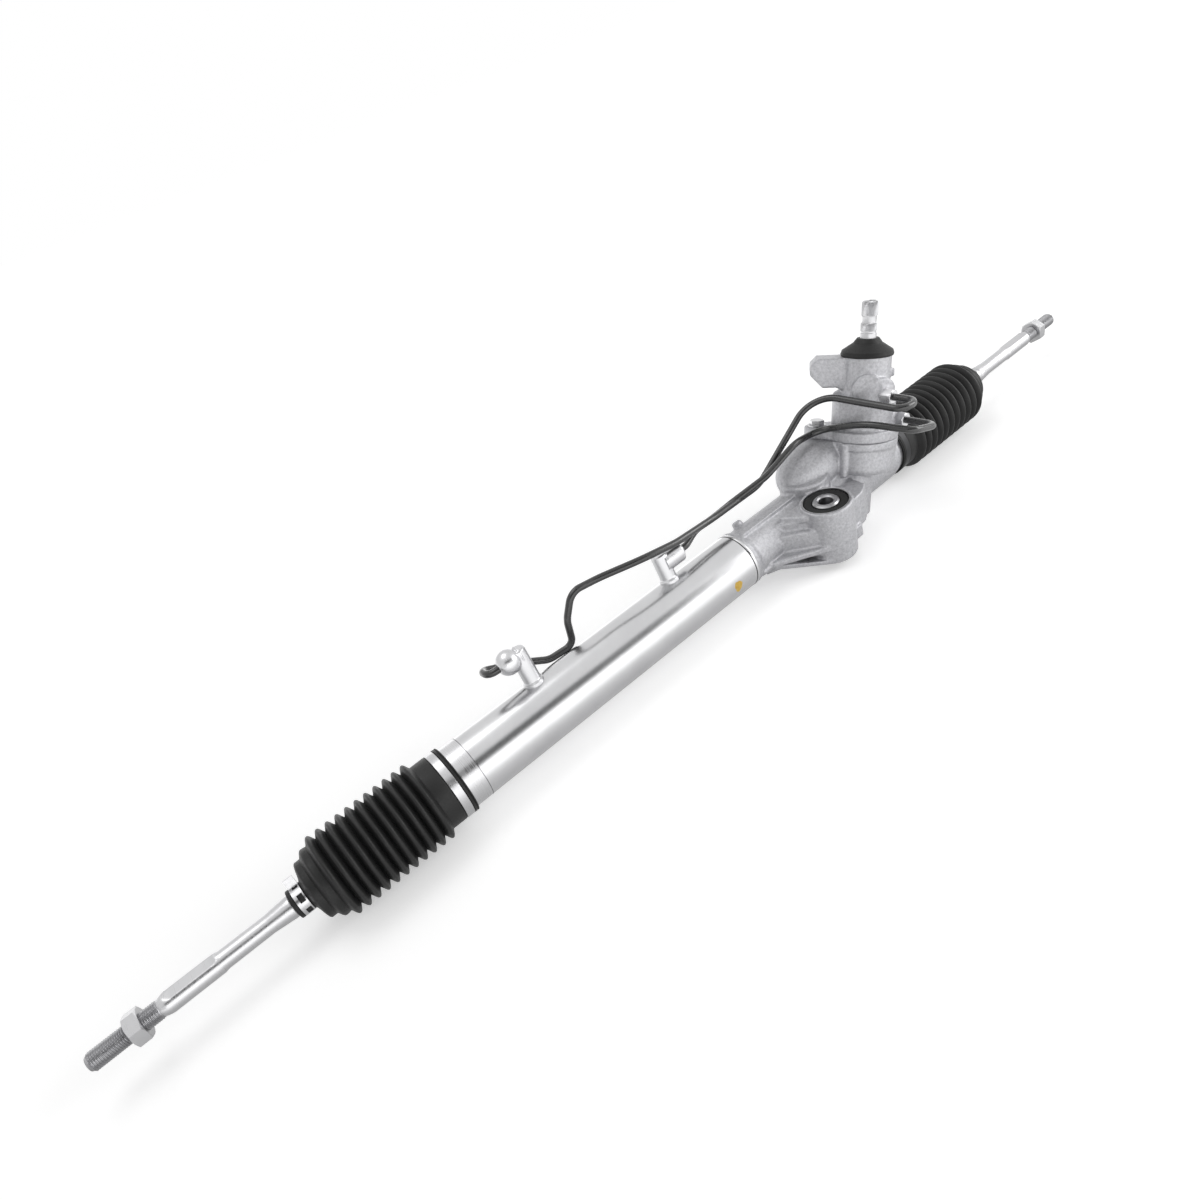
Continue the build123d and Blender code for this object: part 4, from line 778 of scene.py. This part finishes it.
def add_pipes():
    """The two pipes from the valve housing to the port bosses, by way-points from the rack's axis."""
    x, height = NEAR_PORT
    end = arm_point(NEAR_POST, PIPE_SEAT - NEAR_ARM_LENGTH)
    turn_x = NEAR_POST[0] - NEAR_ARM_LENGTH - 9.0
    points = [
        (x, PORT_Y, height), (x, -78.0, height), (69.5, -78.0, 88.8), (63.0, 14.8, 94.3),
        (-25.4, 12.0, 47.0), (-88.2, 12.0, 47.5), (-138.0, 4.5, 55.6), (-177.0, 6.0, 62.2),
        (-212.4, 20.0, 62.3), (-241.0, 20.0, 67.0), (-254.0, 20.0, 46.0), (-257.0, 20.0, 21.5),
        (-281.0, 24.0, 20.5), (-300.0, 29.5, 30.0), (turn_x, 30.0, end[2] - 4.0),
        (turn_x, end[1], end[2]), end,
    ]
    bends = [10.5, 10.5, 28, 40, 60, 60, 60, 40, 14, 22, 9, 18, 20, 8, 8]
    add_pipe("turn_pipe_left_bent", "turn_pipe_left", points, bends)
    x, height = FAR_PORT
    end = arm_point(FAR_POST, FAR_ARM_LENGTH - PIPE_SEAT)
    points = [
        (x, PORT_Y, height), (x, -84.5, height), (74.0, -84.5, 67.5), (60.0, -44.0, 74.5),
        (56.5, 7.0, 61.5), (20.0, 3.0, 68.0), (-24.0, 3.0, 56.5), (-60.0, 14.0, 47.5),
        (-83.5, 18.8, 42.5), (-105.7, 17.7, 44.1), (end[0] + 10.0, end[1], end[2]), end,
    ]
    bends = [10.5, 10.5, 60, 16, 40, 40, 60, 60, 40, 12]
    add_pipe("turn_pipe_right_bent", "turn_pipe_right", points, bends)


def add_port_boss(name, post, arm, side):
    """A round post with its arm, brazed on the tube; it leans back from the camera's side."""
    x, top, height = post
    outline = [
        (POST_R + 1.5, TUBE_R - 2.5), (POST_R + 1.5, TUBE_R + 1.4), (POST_R, TUBE_R + 2.4),
        (POST_R, top - 1.0), (POST_R - 1.0, top),
    ]
    lean = Matrix.Rotation(radians(-BOSS_LEAN), 3, "X")
    shift = Vector((x, RACK_Y, 0.0))
    vertices, faces = lathe(outline, 48)
    upright = raw_mesh([lean @ Vector(v) + shift for v in vertices], faces)
    vertices, faces = lathe(arm, 48)
    lay = Matrix.Rotation(radians(90 * side), 3, "Y")
    raised = Vector((0.0, 0.0, height))
    level = raw_mesh([lean @ (lay @ Vector(v) + raised) + shift for v in vertices], faces)
    piece = fused(f"{name}_brazed", [upright, level], 0.45, 3, "turned")
    piece_for(piece, "housing", "machined_steel", name)


def add_port_bosses():
    """The near boss's arm is a round knob, the far one's a bar with a collar for the pipe."""
    knob_at = NEAR_ARM_LENGTH + 1.0 - NEAR_KNOB_R
    knob = [(NEAR_KNOB_R * 0.8, 0.0)]
    for turn in np.linspace(radians(-50.0), radians(64.0), 16):
        knob.append((NEAR_KNOB_R * cos(turn), knob_at + NEAR_KNOB_R * sin(turn)))
    add_port_boss("port_boss_near", NEAR_POST, knob, -1)
    bar = [(FAR_ARM_R, 0.0), (FAR_ARM_R, FAR_ARM_COLLAR - 0.8), (FAR_ARM_R - 0.8, FAR_ARM_COLLAR)]
    bar += [(PIPE_R + 2.4, FAR_ARM_COLLAR + 0.1), (PIPE_R + 1.4, FAR_ARM_LENGTH)]
    add_port_boss("port_boss_far", FAR_POST, bar, 1)


def hex_nut(flats, length, chamfer=0.8):
    """A chamfered hexagon about Z."""
    corner = flats / 2 / cos(pi / 6)
    rows = [0.0, chamfer / 2, chamfer, length - chamfer, length - chamfer / 2, length]
    limits = [corner - 1.73 * chamfer, corner - 0.87 * chamfer, corner]
    limits += limits[::-1]

    def radius(row, angle):
        off = (angle + pi / 6) % (pi / 3) - pi / 6
        return min(flats / 2 / cos(off), limits[row])

    return ring_grid(rows, 72, radius, cap_low=True, cap_high=True)


def add_flare_nuts():
    """The nuts that clamp the two pipes in the valve housing; both stand for one CAD node."""
    forward = Matrix.Rotation(radians(90), 3, "X")
    for index, (x, height) in enumerate((NEAR_PORT, FAR_PORT)):
        vertices, faces = hex_nut(FLARE_NUT_FLATS, FLARE_NUT_LENGTH)
        shift = Vector((x, RACK_Y + FLARE_NUT_Y, height))
        placed = [forward @ Vector(v) + shift for v in vertices]
        nut = mesh_object(f"pipe_flare_nut_{index}", placed, faces, "plated", 20.0)
        piece_for(nut, "housing", "plated_steel", *(["pipe_flare_nuts"] if index == 0 else []))


def add_bush_sleeve():
    """The mount bush's inner sleeve, its end faces narrowed by broad chamfers."""
    upper = [(12.0, 27.2), (10.6, 28.6), (8.0, 28.6), (6.75, 27.4)]
    outline = [(r, -height) for r, height in upper] + upper[::-1]
    vertices, faces = closed_lathe(outline, 72)
    sleeve = mesh_object("mount_bush_sleeve_chamfered", vertices, faces, "gear", 30.0)
    piece_for(sleeve, "housing", "machined_steel", "mount_bush_sleeve")


# Boots, clamps and tie rods

def boot_outline(length):
    """The boot's outside from its mouth, with rounded crests and pinched valleys."""
    clamp_high = CLAMP_FROM_MOUTH + CLAMP_WIDTH + 0.3
    points = [
        (BOOT_LIP_R - 0.6, 0.0),
        (BOOT_LIP_R, 0.4),
        (BOOT_LIP_R, 1.0),
        (BOOT_LIP_R - 0.9, 1.3),
        (BOOT_LIP_R - 0.9, 1.9),
        (BOOT_LIP_R, 2.2),
        (BOOT_LIP_R, CLAMP_FROM_MOUTH - 0.5),
        (BOOT_LIP_R - 1.0, CLAMP_FROM_MOUTH - 0.3),
        (BOOT_LIP_R - 1.1, CLAMP_FROM_MOUTH),
        (BOOT_LIP_R - 1.1, clamp_high - 0.2),
        (BOOT_LIP_R - 0.6, clamp_high + 0.2),
        (BOOT_LIP_R - 0.4, clamp_high + 0.8),
        (BOOT_LIP_R - 0.5, BOOT_BIG_END - 1.0),
        (BOOT_VALLEY_R + 0.2, BOOT_BIG_END),
    ]
    stop = length - BOOT_SMALL_END
    pitch = (stop - BOOT_BIG_END) / BOOT_CRESTS
    crests = [BOOT_CREST_R] * (BOOT_CRESTS - 2) + [BOOT_CREST_R * 0.85, BOOT_CREST_R * 0.7]
    valleys = [BOOT_VALLEY_R] * (BOOT_CRESTS - 2) + [BOOT_VALLEY_R * 0.84, BOOT_SMALL_R + 2.0]
    before = BOOT_VALLEY_R
    for index, (crest, valley) in enumerate(zip(crests, valleys)):
        start = BOOT_BIG_END + pitch * index
        for share, rise in ((0.12, 0.30), (0.24, 0.66), (0.35, 0.90), (0.44, 0.985), (0.5, 1.0)):
            points.append((before + (crest - before) * rise, start + pitch * share))
        for share, rise in ((0.56, 0.985), (0.65, 0.90), (0.76, 0.66), (0.88, 0.30), (1.0, 0.0)):
            points.append((valley + (crest - valley) * rise, start + pitch * share))
        before = valley
    points += [
        (BOOT_SMALL_R + 0.5, stop + 0.8),
        (BOOT_SMALL_R, stop + 1.6),
        (BOOT_SMALL_R, length - 3.0),
        (BOOT_SMALL_R + 0.6, length - 2.5),
        (BOOT_SMALL_R + 0.6, length - 0.5),
        (BOOT_SMALL_R + 0.2, length),
        (TIE_INNER_R + 0.05, length),
    ]
    return points


def cut_outline(points, height):
    """Split an outline at a height; the cut point goes to both parts."""
    for index in range(len(points) - 1):
        (r0, h0), (r1, h1) = points[index], points[index + 1]
        if h0 <= height <= h1 and h1 > h0:
            share = (height - h0) / (h1 - h0)
            cut = (r0 + (r1 - r0) * share, height)
            return points[:index + 1] + [cut], [cut] + points[index + 1:]
    raise ValueError("the outline doesn't reach that height")


def boot_skin(name, outline, side_name):
    """One part of a boot's bellows, with its wall."""
    side, _, mouth_x = SIDES[side_name]
    vertices, faces = lathe(outline, 96, cap=False)
    piece = mesh_object(f"{name}_{side_name}", laid(vertices, side, mouth_x), faces, "boot", 50.0)
    thicken(piece)
    return piece


def add_boot(side_name):
    """One boot in two pieces that meet at the ball: the bellows up to the ball and the tail beyond it."""
    side, ball_x, mouth_x = SIDES[side_name]
    reach = side * (ball_x - mouth_x)
    small_at = BOOT_SMALL_FROM_BALL[side_name]
    big, small = cut_outline(boot_outline(reach + small_at), reach)
    main = boot_skin("boot_bellows", big, side_name)
    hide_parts(f"boot_{side_name}")
    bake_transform(main)
    tail = boot_skin("boot_tail", small, side_name)
    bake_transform(tail)


def move_far_clamp():
    """The far boot is pulled in shorter than the near one, and its small clamp sits there."""
    shift = Vector((BOOT_SMALL_FROM_BALL["right"] - BOOT_SMALL_FROM_BALL["left"], 0.0, 0.0)) * MM
    clamp = reshaped("small_clamp_right", "small_clamp_right_moved", lambda place: place + shift)
    bevel(clamp, CAD_EDGE)
    piece_for(clamp, "right_tie_rod", "plated_steel", "small_clamp_right")


def add_clamp(side_name):
    """The band clamp: a rolled strip whose end laps over its start, with a folded ear."""
    side, _, mouth_x = SIDES[side_name]
    low = CLAMP_FROM_MOUTH
    high = low + CLAMP_WIDTH
    thick = 0.75
    lap = 48.0
    steps = 120
    start_angle = radians(74.0)
    vertices = []
    section = [(0.0, low), (thick, low + 0.2), (thick, high - 0.2), (0.0, high)]
    for step in range(steps + 1):
        turn = (360.0 + lap) * step / steps
        rise = 0.1 + (thick + 0.08) * rising(turn, 352.0, 8.0)
        angle = start_angle + radians(turn)
        for depth, height in section:
            r = CLAMP_R + rise + depth
            vertices.append((r * cos(angle), r * sin(angle), height))
    faces = grid_faces(steps + 1, len(section), cap_low=True, cap_high=True)
    look = "plated" if side_name == "left" else "clamp_dark"
    band = mesh_object(f"clamp_band_{side_name}", laid(vertices, side, mouth_x), faces, look)
    bevel(band, 0.15)
    piece_for(band, "housing", "plated_steel", f"boot_clamp_{side_name}")
    vertices, faces = folded_ear(low + 0.8, high - 0.8)
    turn = Matrix.Rotation(start_angle + radians(lap + 16.0), 3, "Z")
    vertices = [tuple(turn @ Vector(v)) for v in vertices]
    fold = mesh_object(f"clamp_ear_{side_name}", laid(vertices, side, mouth_x), faces, look)
    bevel(fold, 0.2)
    piece_for(fold, "housing", "plated_steel")


def folded_ear(low, high):
    """The pinched ear of a band clamp, standing outward at angle 0."""
    base = CLAMP_R + 0.8
    half = [(0.9, 2.5), (1.5, 1.6), (2.2, 0.3), (3.4, 0.0)]
    outline = [(-across, rise) for across, rise in reversed(half)] + half
    inner = [(across, max(rise - 0.8, -0.5)) for across, rise in reversed(outline)]
    loop = outline + inner
    vertices = [(base + rise, across, height) for height in (low, high) for across, rise in loop]
    return vertices, grid_faces(2, len(loop), cap_low=True, cap_high=True)


def add_tie_rod(side_name):
    """The inner tie rod with its ball, flats and threaded end."""
    side, ball_x, _ = SIDES[side_name]
    body = f"{side_name}_tie_rod"
    ball_r = 13.5
    ball = [(ball_r * sin(a), -ball_r * cos(a)) for a in np.linspace(0.02, radians(151), 20)]
    shaft = ball + [
        (6.5, 12.5), (6.5, 16.0), (8.4, 22.0), (8.4, 38.2), (8.7, 38.4), (8.9, 38.9), (8.9, 41.0),
        (8.6, 43.5), (7.5, 55.5), (7.3, 57.5), (7.3, 92.0), (7.45, 93.5), (8.0, 95.0),
    ]
    shaft += [(8.0, h) for h in np.linspace(96.0, 132.0, 19)]
    shaft += [(7.8, 133.5), (7.0, 136.5), (6.6, 137.2), (6.2, 138.2)]
    vertices, faces = lathe(shaft, 64)
    flat = 6.3
    cut = []
    for x, y, z in vertices:
        inside = rising(z, 94.5, 2.5) * rising(-z, -133.0, 2.5)
        limit = flat + (1.0 - sqrt(inside)) * 2.5
        cut.append((max(-limit, min(limit, x)), y, z))
    rod = mesh_object(f"tie_rod_body_{side_name}", laid(cut, side, ball_x), faces, "shaft", 30.0)
    piece_for(rod, body, "machined_steel", f"tie_rod_{side_name}")
    vertices, faces = thread(137.6, 186.2)
    screw = mesh_object(f"tie_rod_thread_{side_name}", laid(vertices, side, ball_x), faces, "thread", 60.0)
    piece_for(screw, body, "machined_steel")


def thread(low, high):
    """A right-hand thread about Z with a chamfered end and a centre drilling."""
    per_turn = 8
    count = int((high - low) / THREAD_PITCH * per_turn)
    end_rings = [(5.4, high + 0.8), (2.3, high + 0.8), (2.2, high + 0.4), (0.9, high - 1.8)]
    rows = [*np.linspace(low, high, count), *(height for _, height in end_rings)]

    def radius(row, angle):
        if row >= count:
            return end_rings[row - count][0]
        height = rows[row]
        phase = (height / THREAD_PITCH - angle / (2 * pi)) % 1.0
        ridge = abs(2 * phase - 1)
        depth = THREAD_DEPTH * min(1.0, max(0.0, ridge * 1.35 - 0.1))
        taper = max(0.0, height - (high - 1.4)) * 0.9 + max(0.0, low + 2.0 - height) * 0.3
        return THREAD_R - max(depth, taper)

    return ring_grid(rows, 40, radius, cap_low=True, cap_high=True)


# Input shaft and small parts

def add_input_shaft():
    """The serrated input shaft with its pinch-bolt groove."""
    outline = [
        (10.9, 60.5), (10.9, 97.0), (9.0, 99.0), (9.0, 120.0), (7.2, 122.0), (7.2, 139.0), (6.5, 139.6),
        (6.5, 140.6), (7.25, 141.4), (7.25, 147.5), (6.3, 148.4), (6.3, 153.5), (7.25, 154.5),
        (7.25, 165.6), (6.2, 166.7), (4.6, 167.0), (4.45, 166.4), (4.45, 158.0),
    ]
    columns = SERRATIONS * 4
    rows = [height for _, height in outline]

    def radius(row, angle):
        r, height = outline[row]
        if r < 7.0 or not SERRATED[0] < height < SERRATED[1]:
            return r
        phase = angle / (2 * pi) * SERRATIONS % 1.0
        return r - SERRATION_DEPTH * abs(2 * phase - 1)

    vertices, faces = ring_grid(rows, columns, radius, cap_low=True, cap_high=True)
    shaft = mesh_object("input_shaft_splined", at_gear(vertices), faces, "spline", 45.0)
    piece_for(shaft, "input_shaft", "machined_steel", "input_shaft")


def add_seams():
    """The casting's bright cut edge, and dark rings of painted shade for the gap beside it and for the fine
    line at the end stopper.
    """
    rings = (
        ("casting_edge", SEAM_X, SEAM_X + 2.8, 0.14, "edge"),
        # the next two rings are painted shade in the seams
        ("casting_seam_shade", SEAM_X - 1.1, SEAM_X - 0.1, 0.10, "seam_shade"),
        ("stopper_seam_shade", TUBE_START_X - 0.25, TUBE_START_X + 0.25, 0.05, "seam_shade"),
    )
    for name, low, high, rise, look in rings:
        r = TUBE_R + rise
        profile = [
            (r - 1.5, low), (r - 0.1, low), (r, low + 0.1),
            (r, high - 0.1), (r - 0.1, high), (r - 1.5, high),
        ]
        vertices, faces = closed_lathe(profile, 128)
        ring = mesh_object(name, laid(vertices, 1, 0.0), faces, look, 60.0)
        piece_for(ring, "housing", "machined_steel")


def add_paint_mark():
    """A dab of inspection paint on the tube, close to the casting."""
    centre_x, centre_angle = -108.0, radians(-93.0)
    half_length, half_width, thickness = 4.4, 5.6, 0.28
    rings, columns = 5, 28
    vertices = []
    for ring in range(rings + 1):
        share = ring / rings
        for column in range(columns):
            angle = 2 * pi * column / columns
            edge = 1.0 + 0.10 * sin(3 * angle + 0.6) + 0.06 * sin(7 * angle)
            along = half_length * share * edge * cos(angle)
            turn = centre_angle + half_width * share * edge * sin(angle) / TUBE_R
            r = TUBE_R + thickness * (1.0 - share ** 4) + 0.02
            vertices.append((centre_x + along, RACK_Y + r * sin(turn), r * cos(turn)))
    dab = mesh_object("inspection_paint", vertices, grid_faces(rings + 1, columns), "paint", 80.0)
    piece_for(dab, "housing", "machined_steel")


def soften_cad():
    """Small edge radii on the machined CAD nodes that stay in view."""
    for node in ("end_stopper", "housing_bolts", "jam_nut_left", "jam_nut_right", "plug_lock_nut",
                 "adjusting_plug", "small_clamp_left"):
        bevel(cad[node], CAD_EDGE)


# Scene

def plate(name, half_x, half_y, height=0.0):
    """A level rectangle, in metres."""
    data = bpy.data.meshes.new(name)
    signs = ((-1, -1), (1, -1), (1, 1), (-1, 1))
    data.from_pydata([(half_x * x, half_y * y, height) for x, y in signs], [], [(0, 1, 2, 3)])
    return new_object(name, data)


def add_floor(height):
    """A white floor that keeps the object's shadow and fades into the white backdrop.

    For bright metal it gets lighter with its distance from the rack's axis: a painted shadow of the rack,
    seen only in reflections.
    """
    floor = plate("floor", 30.0, 30.0, height)
    made = Shade("floor_white", grey(0.86), roughness=0.9, Specular_IOR_Level=0.0)
    place = made.node("ShaderNodeNewGeometry").outputs["Position"]
    path = made.node("ShaderNodeLightPath")
    distance = made.node("ShaderNodeVectorMath", operation="LENGTH")
    made.link(place, distance.inputs[0])
    fade = made.spread(distance.outputs["Value"], FLOOR_LIFT, 1.0, *FLOOR_FADE)
    lift = made.glow(made.maths("MULTIPLY", fade, path.outputs["Is Camera Ray"]))
    parts = made.node("ShaderNodeSeparateXYZ")
    made.link(place, parts.inputs[0])
    # painted shade: what reflections see of the floor is darker near the rack's axis
    aside = made.maths("ABSOLUTE", made.maths("SUBTRACT", parts.outputs["Y"], RACK_Y * MM))
    shaded_reflection = made.glow(made.spread(aside, *FLOOR_SHADED_REFLECTION, *FLOOR_SHADED_REFLECTION_AT))
    lifted = made.node("ShaderNodeAddShader")
    made.link(made.shader.outputs[0], lifted.inputs[0])
    made.link(lift, lifted.inputs[1])
    mix = made.node("ShaderNodeMixShader")
    made.link(path.outputs["Is Glossy Ray"], mix.inputs["Fac"])
    made.link(lifted.outputs[0], mix.inputs[1])
    made.link(shaded_reflection, mix.inputs[2])
    made.link(mix.outputs[0], made.tree.nodes["Material Output"].inputs["Surface"])
    floor.data.materials.append(made.material)


def set_world(level):
    """White for the camera and for reflections, a plain level for the light itself."""
    world = bpy.data.worlds.new("studio")
    bpy.context.scene.world = world
    world.use_nodes = True
    nodes, links = world.node_tree.nodes, world.node_tree.links
    plain = nodes["Background"]
    white = nodes.new("ShaderNodeBackground")
    for background, strength in ((plain, level), (white, 1.0)):
        background.inputs["Color"].default_value = (1, 1, 1, 1)
        background.inputs["Strength"].default_value = strength
    path = nodes.new("ShaderNodeLightPath")
    seen = path.outputs["Is Camera Ray"]
    for ray in ("Is Glossy Ray", "Is Transmission Ray"):
        either = nodes.new("ShaderNodeMath")
        either.operation = "MAXIMUM"
        links.new(seen, either.inputs[0])
        links.new(path.outputs[ray], either.inputs[1])
        seen = either.outputs[0]
    mix = nodes.new("ShaderNodeMixShader")
    links.new(seen, mix.inputs["Fac"])
    links.new(plain.outputs[0], mix.inputs[1])
    links.new(white.outputs[0], mix.inputs[2])
    links.new(mix.outputs[0], nodes["World Output"].inputs["Surface"])


def aimed(place, target, tracked):
    """The turn that points an object's tracked axis from its place to a target."""
    return (Vector(target) - Vector(place)).to_track_quat(tracked, "Y").to_euler()


def add_lamp(name, place, size, power):
    """An area lamp that looks at the origin."""
    data = bpy.data.lights.new(name, "AREA")
    data.shape = "RECTANGLE"
    data.size, data.size_y = size
    data.energy = power
    lamp = new_object(name, data)
    lamp.location = place
    lamp.rotation_euler = aimed(place, (0, 0, 0), "-Z")


def add_card(name, centre, facing, size, level):
    """A card that only reflections see, as a studio sets beside bright metal."""
    card = plate(name, size[0] / 2, size[1] / 2)
    card.location = centre
    card.rotation_euler = aimed((0, 0, 0), facing, "Z")
    made = bpy.data.materials.new(name)
    made.use_nodes = True
    nodes, links = made.node_tree.nodes, made.node_tree.links
    tone = nodes.new("ShaderNodeEmission")
    tone.inputs["Color"].default_value = (1, 1, 1, 1)
    tone.inputs["Strength"].default_value = level
    links.new(tone.outputs[0], nodes["Material Output"].inputs["Surface"])
    card.data.materials.append(made)
    card.visible_camera = False
    card.visible_diffuse = False
    card.visible_shadow = False
    card.visible_transmission = False


def add_camera():
    data = bpy.data.cameras.new("camera")
    data.sensor_width = SENSOR
    data.lens = CAMERA_LENS
    data.clip_start = 0.01
    camera = new_object("camera", data)
    camera.location = Vector(CAMERA_PLACE) * MM
    tilt = Matrix.Rotation(radians(90 - CAMERA_ELEVATION), 4, "X")
    roll = Matrix.Rotation(radians(-CAMERA_ROLL), 4, "Z")
    pan = Matrix.Rotation(radians(CAMERA_AZIMUTH), 4, "Z")
    camera.rotation_euler = (pan @ tilt @ roll).to_euler()
    bpy.context.scene.camera = camera


dress_frame()
cast_skin("rack_housing", housing_shoulder() + web_fill(), raise_low_web)
cast_skin("valve_housing", [arch_boss()], slim_valve)
add_dust_cover()
add_pipes()
add_port_bosses()
add_flare_nuts()
add_bush_sleeve()
for side_name in SIDES:
    add_boot(side_name)
    add_clamp(side_name)
    add_tie_rod(side_name)
move_far_clamp()
add_input_shaft()
add_seams()
add_paint_mark()
soften_cad()

bpy.context.scene.view_settings.view_transform = "Standard"
add_camera()
add_floor(cad_box[0].z)
set_world(level=0.42)
add_lamp("key", place=(-0.5, 0.6, 1.9), size=(1.3, 1.0), power=7.5)
add_lamp("fill", place=(1.7, -1.2, 1.0), size=(1.5, 1.3), power=24.0)
add_card("dark_card", (-0.2, -1.44, 1.30), facing=(0.1, 0.74, -0.67), size=(3.4, 0.85), level=0.03)
add_card("bright_card", (-0.2, -1.92, 0.47), facing=(0.1, 0.97, -0.24), size=(3.4, 0.95), level=2.2)
